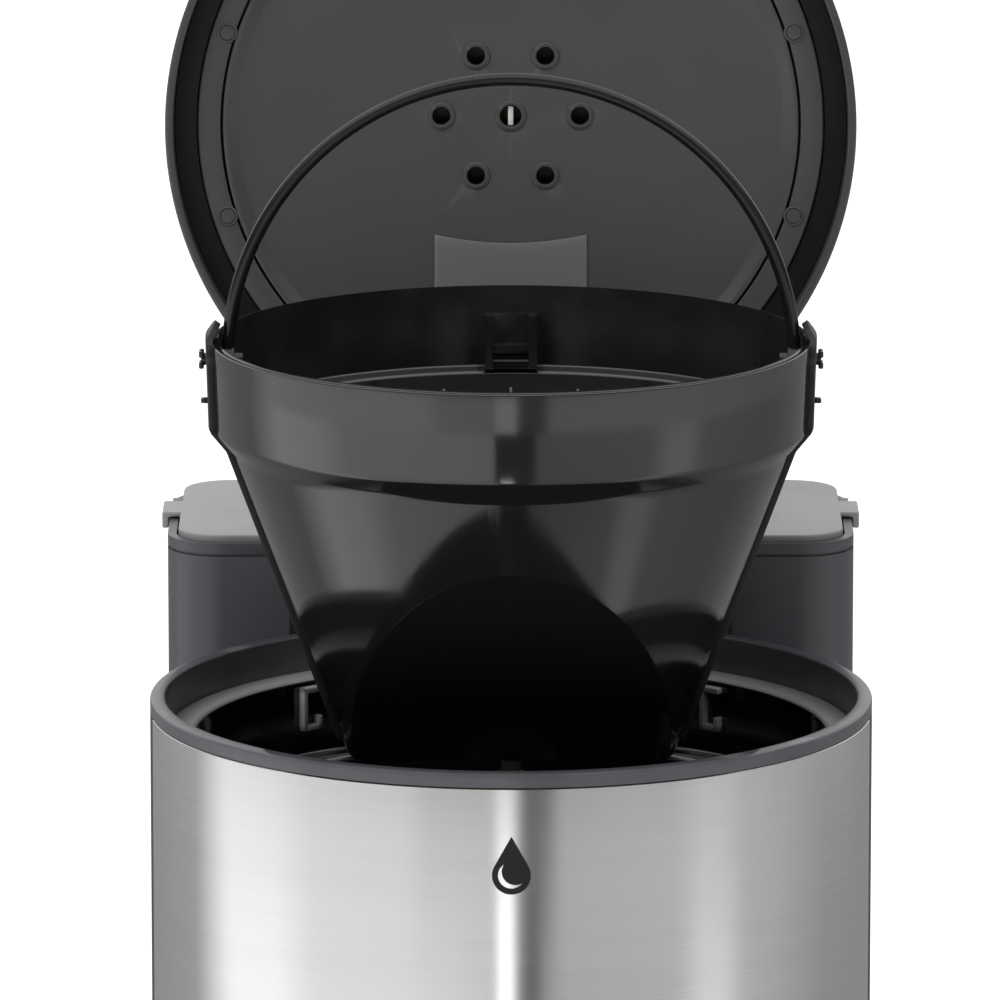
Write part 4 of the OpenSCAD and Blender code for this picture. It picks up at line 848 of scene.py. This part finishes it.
        def width(z):
            if z > cap:
                return math.sqrt(max(ear_half ** 2 - (z - cap) ** 2, 0.3))
            if z > rim - 3:
                return ear_half
            if z > rim - 5:
                return ear_half + (pad_half - ear_half) * (rim - 3 - z) / 2
            if z > rim - collar + 2:
                return pad_half
            if z > rim - collar - 1:
                return pad_half - (pad_half - rail_half) * (rim - collar + 2 - z) / 3
            return min(rail_half, 7 + (z - floor) * 0.03)

        def reach(z):
            if z > rim:
                return radius + 1.4 - max(0.0, z - rim - 1) * 0.7
            if z > rim - collar:
                return low_r + (radius - low_r) * (z - rim + collar) / collar + 1.4
            if z > rim - collar - drop:
                return cone_r + (low_r - cone_r) * (z - rim + collar + drop) / drop + 1.25
            return cone_r - slope * (rim - collar - drop - z) + 1.2

        for side in (-1, 1):
            rows, columns = 120, 12
            made = bmesh.ops.create_grid(bm, x_segments=columns, y_segments=rows, size=1)["verts"]
            low = floor + 4
            for v in made:
                u, t = v.co.x, (v.co.y + 1) / 2
                z = low + (ear_top - 0.02 - low) * t
                y = u * width(z)
                v.co = Vector((side * math.sqrt(reach(z) ** 2 - y ** 2) * MM, AXIS_Y + y * MM, z * MM))
            faces = list({f for v in made for f in v.link_faces})
            bmesh.ops.recalc_face_normals(bm, faces=faces)
            if faces[0].normal.x * side < 0:
                bmesh.ops.reverse_faces(bm, faces=faces)
            bmesh.ops.solidify(bm, geom=faces, thickness=1.6 * MM)
        edges = [e for e in bm.edges if len(e.link_faces) == 2 and e.calc_face_angle(0) > math.radians(50)]
        bmesh.ops.bevel(bm, geom=edges, offset=0.3 * MM, offset_type="OFFSET", affect="EDGES", segments=2,
                        profile=0.5, material=-1, clamp_overlap=True)
        return make_piece(bm, "basket_guards", "basket", 35)


class COFFEE_OT_bail(Maker):
    """Bail with its eyes, and the pivot pins"""
    bl_idname = "coffee.bail"
    bl_label = "Bail and pins"

    def build(self):
        lows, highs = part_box("bail_handle")
        outer = highs.z - PIVOT.z
        thick = 1.6 * MM
        radius = outer - thick
        bm = bmesh.new()
        ring = bmesh.ops.create_circle(bm, cap_ends=False, segments=20, radius=thick)["verts"]
        bmesh.ops.translate(bm, verts=ring, vec=(radius, 0, 0))
        edges = list({e for v in ring for e in v.link_edges})
        made = bmesh.ops.spin(bm, geom=ring + edges, cent=(0, 0, 0), axis=(0, 1, 0), angle=-math.pi, steps=128, use_merge=False)
        last = [g for g in made["geom_last"] if isinstance(g, bmesh.types.BMEdge)]
        bmesh.ops.contextual_create(bm, geom=edges)
        bmesh.ops.contextual_create(bm, geom=last)
        bmesh.ops.translate(bm, verts=bm.verts[:], vec=PIVOT)
        for side in (-1, 1):
            rod(bm, PIVOT, 3.1 * MM, (side * radius - thick, side * radius + thick), "X", 40, 0.4 * MM)
        bail = finish_mesh(bm, "bail_round", "bail", 40)
        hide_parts("bail_handle")
        dress(bail, "bail")

        bm = bmesh.new()
        low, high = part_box("bail_pins")
        for side in (-1, 1):
            tip = high.x * side
            inner = side * (radius - 3.6 * MM)
            rod(bm, PIVOT, 1.5 * MM, tuple(sorted((inner, tip - side * 0.5 * MM))), "X", 24, 0.2 * MM)
            for lift in (-1.35, 1.35):
                block(bm, (min(tip, tip - side * 1.2 * MM), PIVOT.y - 2.2 * MM, PIVOT.z + (lift - 0.8) * MM),
                      (max(tip, tip - side * 1.2 * MM), PIVOT.y + 2.2 * MM, PIVOT.z + (lift + 0.8) * MM), 0.35 * MM)
            nub = side * 75.2 * MM
            block(bm, (min(nub, nub - side * 1.8 * MM), PIVOT.y - 1.2 * MM, PIVOT.z - 10.8 * MM),
                  (max(nub, nub - side * 1.8 * MM), PIVOT.y + 1.2 * MM, PIVOT.z - 9.6 * MM), 0.3 * MM)
        pins = make_piece(bm, "bail_pins_round", "basket", 35)
        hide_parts("bail_pins")
        dress(pins, "bail")


class COFFEE_OT_lid(Maker):
    """Lid with its rim, plate ring, stakes and shower plate"""
    bl_idname = "coffee.lid"
    bl_label = "Lid"

    def build(self):
        s = shape()
        lows, highs = turned_box("lid_shell", CLOSED)
        ring_low, ring_high = turned_box("lid_plate_ring", CLOSED)
        radius = (highs.x - lows.x) / 2 / MM
        low, top = lows.z / MM, highs.z / MM
        wall = 2.1
        plate = ring_low.z / MM
        ring_r = (ring_high.x - ring_low.x) / 2 / MM
        bm = bmesh.new()
        turn_profile(bm, [
            (0, top - 2), (radius - 12, top - 2, 2), (radius - wall - 1, top - 3.2, 1), (radius - wall, top - 5.6, 1),
            (radius - wall, low, 0.5), (radius, low, 0.7), (radius, top - 4, 5), (radius - 7, top, 3), (0, top),
        ])
        bmesh.ops.remove_doubles(bm, verts=bm.verts[:], dist=1e-7)
        bmesh.ops.recalc_face_normals(bm, faces=bm.faces[:])
        pin_y, pin_z = HINGE.y, HINGE.z
        half = 18 * MM
        block(bm, (-half, AXIS_Y + (radius - 1.9) * MM, (low + 3) * MM), (half, pin_y, (top - 5) * MM), 0.8 * MM)
        rod(bm, (0, pin_y, pin_z), 6.5 * MM, (-half, half), "X", 48, 0.6 * MM)
        bmesh.ops.transform(bm, matrix=OPENED, verts=bm.verts[:])
        shell = make_piece(bm, "lid_round", "lid", 35)
        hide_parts("lid_shell")
        dress(shell, "lid")

        inside = turned_piece("lid_inner_wall", "lid", [
            (ring_r - 0.3, plate + 3.1), (ring_r - 2, plate + 3.1), (ring_r - 2, top - 1.8), (ring_r - 0.3, top - 1.8),
        ], matrix=OPENED)
        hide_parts("lid_shell")
        dress(inside, "lid")

        ring = turned_piece("lid_plate_ring_round", "lid", [
            (ring_r - 5.7, plate + 3), (ring_r - 5.7, plate, 0.35), (ring_r, plate, 0.5), (ring_r, plate + 3),
        ], matrix=OPENED)
        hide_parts("lid_plate_ring")
        dress(ring, "lid_plate")

        bm = bmesh.new()
        for k in range(s.stake_count):
            turn = math.tau * (k + 0.5) / s.stake_count
            spot_r = (ring_r - 3.85)
            spot = (math.cos(turn) * spot_r * MM, AXIS_Y + math.sin(turn) * spot_r * MM)
            turn_profile(bm, [(0, plate - 0.25), (1.75, plate - 0.25, 0.1), (1.95, plate - 0.05), (2.1, plate - 0.42), (2.45, plate - 0.42, 0.12),
                              (2.6, plate + 0.2), (0, plate + 0.2)], False, 32, spot)
        bmesh.ops.remove_doubles(bm, verts=bm.verts[:], dist=1e-7)
        bmesh.ops.transform(bm, matrix=OPENED, verts=bm.verts[:])
        stakes = finish_mesh(bm, "lid_stakes_round", "lid", 40)
        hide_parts("lid_stakes")
        dress(stakes, "lid_plate")
        self.shower_plate(plate, ring_r - 5.7 - 0.6)

    def shower_plate(self, plate, edge):
        s = shape()
        dish, thick = 3.0, 1.8
        rim_r = edge - 3.9
        rings = [(rim_r * k / 12, plate + dish - (dish - 1.4) * (k / 12) ** 1.4) for k in range(12)]
        profile = rings + [(rim_r, plate + 1.4, 0.4), (edge - 1.1, plate - 0.2, 0.3), (edge, plate - 0.2, 0.35),
                           (edge, plate + 3.4), (0, plate + dish + thick)]
        disc = turned_piece("lid_shower_plate_round", "lid", profile, closed=False, steps=160, smooth=30)
        spots = [(0.0, 0.0, 2.75)] + [(17.5 * math.cos(math.radians(60 * k)), 17.5 * math.sin(math.radians(60 * k)), 2.3)
                                      for k in range(6)]
        drill(disc, [(Matrix.Translation((x * MM, AXIS_Y + (y - 2) * MM, plate * MM)), r * MM, 0.03) for x, y, r in spots])
        disc.data.transform(OPENED)
        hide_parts("lid_shower_plate")
        dress(disc, "lid_plate")

        bm = bmesh.new()
        for x, y, r in spots:
            reach = math.hypot(x, y - 2) / rim_r
            face = plate + dish - (dish - 1.4) * reach ** 1.4
            spot = (x * MM, AXIS_Y + (y - 2) * MM)
            turn_profile(bm, [(r, face + 3.5, 0.1), (r, face - 0.75, 0.3), (r + 1.1, face - 0.6, 0.35), (r + 1.5, face + 0.4),
                              (r + 1.5, face + 3.5)], True, 48, spot)
        collars = finish_mesh(bm, "lid_shower_collars", "lid", 50)
        collars.data.transform(OPENED)
        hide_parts("lid_shower_plate")
        dress(collars, "lid")

        bm = bmesh.new()
        block(bm, (-0.7 * MM, AXIS_Y - 4.5 * MM, (plate + dish + 0.2) * MM), (0.7 * MM, AXIS_Y + 0.5 * MM, (plate + dish + 4) * MM), 0.3 * MM)
        bmesh.ops.transform(bm, matrix=OPENED, verts=bm.verts[:])
        tip = make_piece(bm, "lid_nozzle_tip", "lid", 40)
        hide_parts("lid_shower_plate")
        dress(tip, "white")

        half = s.pad_width / 2 / MM
        bm = bmesh.new()
        verts = bmesh.ops.create_grid(bm, x_segments=24, y_segments=16, size=1)["verts"]
        near, far = 28.0, rim_r - 1.5
        for v in verts:
            u, t = v.co.x, (v.co.y + 1) / 2
            start = near + 2.2 * (1 - u * u)
            y = start + (math.sqrt(far ** 2 - (u * half) ** 2) - start) * t
            reach = math.hypot(u * half, y) / rim_r
            lift = dish - (dish - 1.4) * min(reach, 1.0) ** 1.4
            v.co = Vector((u * half * MM, AXIS_Y + y * MM, (plate + lift - 0.5) * MM))
        faces = bm.faces[:]
        bmesh.ops.recalc_face_normals(bm, faces=faces)
        if faces[0].normal.z > 0:
            bmesh.ops.reverse_faces(bm, faces=faces)
        bmesh.ops.solidify(bm, geom=faces, thickness=1.2 * MM)
        edges = [e for e in bm.edges if len(e.link_faces) == 2 and e.calc_face_angle(0) > math.radians(50)]
        bmesh.ops.bevel(bm, geom=edges, offset=0.2 * MM, offset_type="OFFSET", affect="EDGES", segments=2,
                        profile=0.5, material=-1, clamp_overlap=True)
        bmesh.ops.transform(bm, matrix=OPENED, verts=bm.verts[:])
        pad = make_piece(bm, "lid_water_pad", "lid", 35)
        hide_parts("lid_shower_plate")
        dress(pad, "lid_pad")


class COFFEE_OT_jug(Maker):
    """Glass jug with its band, handle and lid"""
    bl_idname = "coffee.jug"
    bl_label = "Jug"

    def build(self):
        s = shape()
        lows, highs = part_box("jug_glass")
        floor, top = lows.z / MM, highs.z / MM
        belly = (highs.x - lows.x) / 2 / MM
        mouth, glass = 52.0, 2.6
        neck = top - 16

        def profile(t):
            return [(0, floor + t), (belly - 12 - t / 2, floor + t, 4), (belly - 5 - t, floor + 6, 5), (belly - 1.2 - t, floor + 22, 8),
                    (belly - t, floor + 46, 12), (belly - 1.4 - t, floor + 66, 10), (belly - 5 - t, floor + 80, 8),
                    (mouth + 1 - t, neck - 2, 2.5), (mouth - t, neck + 2, 1.5), (mouth - t, top - 3, 1)]

        bm = bmesh.new()
        turn_profile(bm, profile(0) + [(mouth + 1, top, 0.5), (mouth + 1 - glass, top, 0.5)] + profile(glass)[::-1], False)
        jug = finish_mesh(bm, "jug_glass_blown", "jug", 60)
        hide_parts("jug_glass")
        dress(jug, "glass")
        dress(copy_of("jug_band", "jug_band_round", "jug", s.small_round, 2, 35), "band")
        dress(copy_of("jug_handle", "jug_handle_round", "jug", 3.2 * MM, 5, 35), "housing")
        dress(copy_of("jug_lid", "jug_lid_round", "jug_cap", s.edge_round, 3, 35), "housing")


class COFFEE_OT_stage(Maker):
    """Camera, pale floor and soft studio light"""
    bl_idname = "coffee.stage"
    bl_label = "Stage"

    def build(self):
        stage = bpy.context.scene.coffee_stage
        scene = bpy.context.scene
        scene.view_settings.view_transform = "Standard"
        scene.view_settings.look = "None"
        camera = bpy.data.objects.new("camera", bpy.data.cameras.new("camera"))
        scene.collection.objects.link(camera)
        camera.data.lens = stage.lens
        camera.data.sensor_width = 36
        aim = Vector((stage.aim_side, AXIS_Y, HEAD_TOP + stage.aim_rise))
        back = Vector((0, -math.cos(stage.elevation), math.sin(stage.elevation)))
        camera.location = aim + back * stage.distance
        camera.rotation_mode = "QUATERNION"
        camera.rotation_quaternion = (-back).to_track_quat("-Z", "Y")
        camera.data.clip_end = 200
        scene.camera = camera

        bm = bmesh.new()
        bmesh.ops.create_grid(bm, x_segments=1, y_segments=1, size=stage.floor_size / 2)
        mesh = bpy.data.meshes.new("floor")
        bm.to_mesh(mesh)
        bm.free()
        floor = bpy.data.objects.new("floor", mesh)
        scene.collection.objects.link(floor)
        mesh.transform(Matrix.Translation((0, 0, CAD_BOX[0].z - 0.0003)))
        floor.visible_glossy = False
        paper = bpy.data.materials.new("Floor paper")
        paper.use_nodes = True
        tree = paper.node_tree
        shader = tree.nodes["Principled BSDF"]
        fibre = noise(tree, object_points(tree), 60, 3, 0.5)
        tree.links.new(mixed(tree, spread(tree, fibre, 0.2, 0.8), (0.86, 0.86, 0.86, 1), (0.88, 0.88, 0.88, 1)),
                       shader.inputs["Base Color"])
        shader.inputs["Roughness"].default_value = 0.9
        shader.inputs["Emission Color"].default_value = (1, 1, 1, 1)
        shader.inputs["Emission Strength"].default_value = 0.32
        mesh.materials.append(paper)

        key = bpy.data.lights.new("key", "AREA")
        key.shape, key.size, key.size_y, key.energy = "RECTANGLE", 1.6, 1.2, 26
        lamp = bpy.data.objects.new("key", key)
        scene.collection.objects.link(lamp)
        lamp.location = (-1.5, -1.4, 2.1)
        lamp.rotation_mode = "QUATERNION"
        lamp.rotation_quaternion = (Vector((0, 0, 0.3)) - lamp.location).to_track_quat("-Z", "Y")
        lamp.visible_glossy = False
        self.world(stage.backdrop)
        top = HEAD_TOP + 0.5 * MM
        # A black disc over the chamber that only reflections see: a painted dark reflection on the basket's cone.
        dark_reflection_sheet = bmesh.new()
        bmesh.ops.create_circle(dark_reflection_sheet, cap_ends=True, segments=64, radius=0.06,
                                matrix=Matrix.Translation((0, AXIS_Y - 0.049, top)))
        self.card(dark_reflection_sheet, "dark_reflection_sheet", 0.0)
        # A glowing strip in front of the head that only reflections see: a painted highlight streak on the steel.
        highlight_reflection_strip = bmesh.new()
        bmesh.ops.create_grid(highlight_reflection_strip, x_segments=1, y_segments=1, size=0.5, matrix=Matrix.Translation(
            (-0.0105, AXIS_Y - BODY_R - 0.3, HEAD_TOP - 0.17)) @ Matrix.Rotation(math.pi / 2, 4, "X") @ Matrix.Diagonal((0.031, 0.24, 1, 1)))
        self.card(highlight_reflection_strip, "highlight_reflection_strip", 2.2)

    def card(self, bm, name, strength):
        """A card that only shows in reflections."""
        mesh = bpy.data.meshes.new(name)
        bm.to_mesh(mesh)
        bm.free()
        sheet = bpy.data.objects.new(name, mesh)
        bpy.context.scene.collection.objects.link(sheet)
        paper = bpy.data.materials.new(name + " card")
        paper.use_nodes = True
        tree = paper.node_tree
        shader = tree.nodes["Principled BSDF"]
        fibre = noise(tree, object_points(tree), 80, 3, 0.5)
        tree.links.new(spread(tree, fibre, 0.2, 0.8, 0.004, 0.006), shader.inputs["Base Color"])
        shader.inputs["Emission Color"].default_value = (1, 1, 1, 1)
        shader.inputs["Emission Strength"].default_value = strength
        shader.inputs["Specular IOR Level"].default_value = 0.0
        mesh.materials.append(paper)
        sheet.visible_camera = sheet.visible_diffuse = sheet.visible_shadow = sheet.visible_transmission = False

    def world(self, backdrop):
        """A white tent with brighter and darker panels, by direction."""
        world = bpy.data.worlds.new("studio")
        bpy.context.scene.world = world
        world.use_nodes = True
        tree = world.node_tree
        tree.nodes.clear()
        split = tree.nodes.new("ShaderNodeSeparateXYZ")
        tree.links.new(tree.nodes.new("ShaderNodeTexCoord").outputs["Generated"], split.inputs[0])
        front = maths(tree, "MULTIPLY", split.outputs["Y"], -1)
        turn = maths(tree, "ARCTAN2", split.outputs["X"], front)
        turn = maths(tree, "MULTIPLY_ADD", turn, 1 / math.tau, 0.5)
        rise = maths(tree, "ARCSINE", split.outputs["Z"])
        height = maths(tree, "MULTIPLY_ADD", rise, 1 / math.pi, 0.5)
        panels = self.ramp(tree, turn, [
            (-180, 0.30), (-150, 0.36), (-118, 0.55), (-104, 1.36), (-34, 1.36), (-26, 1.02), (-7, 0.98), (-5, 1.6), (1.5, 1.6),
            (3, 0.3), (5, 0.22), (12, 0.22), (15, 0.95), (60, 0.98), (90, 0.82), (120, 0.5), (150, 0.36), (180, 0.30)])
        table = self.ramp(tree, turn, [
            (-180, 0.3), (-120, 0.5), (-110, 1.1), (-101, 1.75), (-80, 1.75), (-66, 1.3), (-20, 1.25), (-7, 1.15), (-6, 0.1),
            (9, 0.1), (10, 0.62), (55, 0.7), (64, 1.2), (72, 1.2), (80, 0.7), (120, 0.4), (180, 0.3)])
        table_level = self.ramp(tree, height, [
            (-90, 0.03), (-66, 0.03), (-60, 0.62), (-45, 0.85), (-30, 0.9), (-20, 1.0), (0, 1.0)], 90)
        low = tree.nodes.new("ShaderNodeMix")
        put(self.ramp(tree, height, [(-90, 0.0), (-9, 0.0), (-8, 1.0), (90, 1.0)], 90), low.inputs[0], tree)
        put(maths(tree, "MULTIPLY", table, table_level), low.inputs[2], tree)
        put(panels, low.inputs[3], tree)
        front_sky = self.ramp(tree, height, [
            (-90, 0.9), (-2, 0.9), (1, 0.14), (24, 0.12), (29, 0.8), (38, 0.95), (48, 1.7), (90, 1.5)], 90)
        rear_sky = self.ramp(tree, height, [(-90, 1.0), (0, 1.25), (30, 1.5), (90, 1.4)], 90)
        behind = self.ramp(tree, turn, [(-180, 1.0), (-130, 1.0), (-112, 0.0), (112, 0.0), (130, 1.0), (180, 1.0)])
        sky = tree.nodes.new("ShaderNodeMix")
        put(behind, sky.inputs[0], tree)
        put(front_sky, sky.inputs[2], tree)
        put(rear_sky, sky.inputs[3], tree)
        above = self.ramp(tree, height, [(-90, 0.0), (0, 0.0), (3, 1.0), (90, 1.0)], 90)
        blend = tree.nodes.new("ShaderNodeMix")
        put(above, blend.inputs[0], tree)
        put(low.outputs[0], blend.inputs[2], tree)
        put(sky.outputs[0], blend.inputs[3], tree)
        seen = tree.nodes.new("ShaderNodeLightPath").outputs["Is Camera Ray"]
        show = tree.nodes.new("ShaderNodeMix")
        put(seen, show.inputs[0], tree)
        put(blend.outputs[0], show.inputs[2], tree)
        put(backdrop, show.inputs[3], tree)
        light = tree.nodes.new("ShaderNodeBackground")
        tree.links.new(show.outputs[0], light.inputs["Strength"])
        end = tree.nodes.new("ShaderNodeOutputWorld")
        tree.links.new(light.outputs[0], end.inputs[0])

    def ramp(self, tree, value, stops, reach=180):
        """Linear table of (degrees, level) pairs, scaled to stay within 0 and 1."""
        node = tree.nodes.new("ShaderNodeValToRGB")
        top = max(level for _, level in stops)
        bar = node.color_ramp
        while len(bar.elements) < len(stops):
            bar.elements.new(0.5)
        for element, (angle, level) in zip(bar.elements, stops):
            element.position = (angle + reach) / (2 * reach)
            element.color = (level / top,) * 3 + (1,)
        tree.links.new(value, node.inputs[0])
        return maths(tree, "MULTIPLY", node.outputs[0], top)


MAKERS = (COFFEE_OT_stage, COFFEE_OT_finishes, COFFEE_OT_steel_sleeves, COFFEE_OT_head, COFFEE_OT_tower, COFFEE_OT_base,
          COFFEE_OT_basket, COFFEE_OT_bail, COFFEE_OT_lid, COFFEE_OT_jug)


class COFFEE_PT_panel(Panel):
    """Lists the sizes, the colours and the steps that build the coffee maker"""
    bl_idname = "COFFEE_PT_panel"
    bl_label = "Coffee Maker"
    bl_space_type = "VIEW_3D"
    bl_region_type = "UI"
    bl_category = "Coffee Maker"

    def draw(self, context):
        layout = self.layout
        for group_name in ("coffee_stage", "coffee_shape", "coffee_colours"):
            column = layout.column(align=True)
            settings = getattr(context.scene, group_name)
            for key in settings.bl_rna.properties.keys():
                if key not in ("rna_type", "name"):
                    column.prop(settings, key)
        for maker in MAKERS:
            layout.operator(maker.bl_idname)


SETTINGS = {"coffee_shape": CoffeeShape, "coffee_colours": CoffeeColours, "coffee_stage": CoffeeStage}


def register():
    for cls in (*SETTINGS.values(), *MAKERS, COFFEE_PT_panel):
        bpy.utils.register_class(cls)
    for key, cls in SETTINGS.items():
        setattr(bpy.types.Scene, key, PointerProperty(type=cls))


def unregister():
    for key in SETTINGS:
        delattr(bpy.types.Scene, key)
    for cls in (COFFEE_PT_panel, *reversed(MAKERS), *SETTINGS.values()):
        bpy.utils.unregister_class(cls)


def main():
    register()
    for maker in MAKERS:
        area, name = maker.bl_idname.split(".")
        getattr(getattr(bpy.ops, area), name)()


if __name__ == "__main__":
    main()
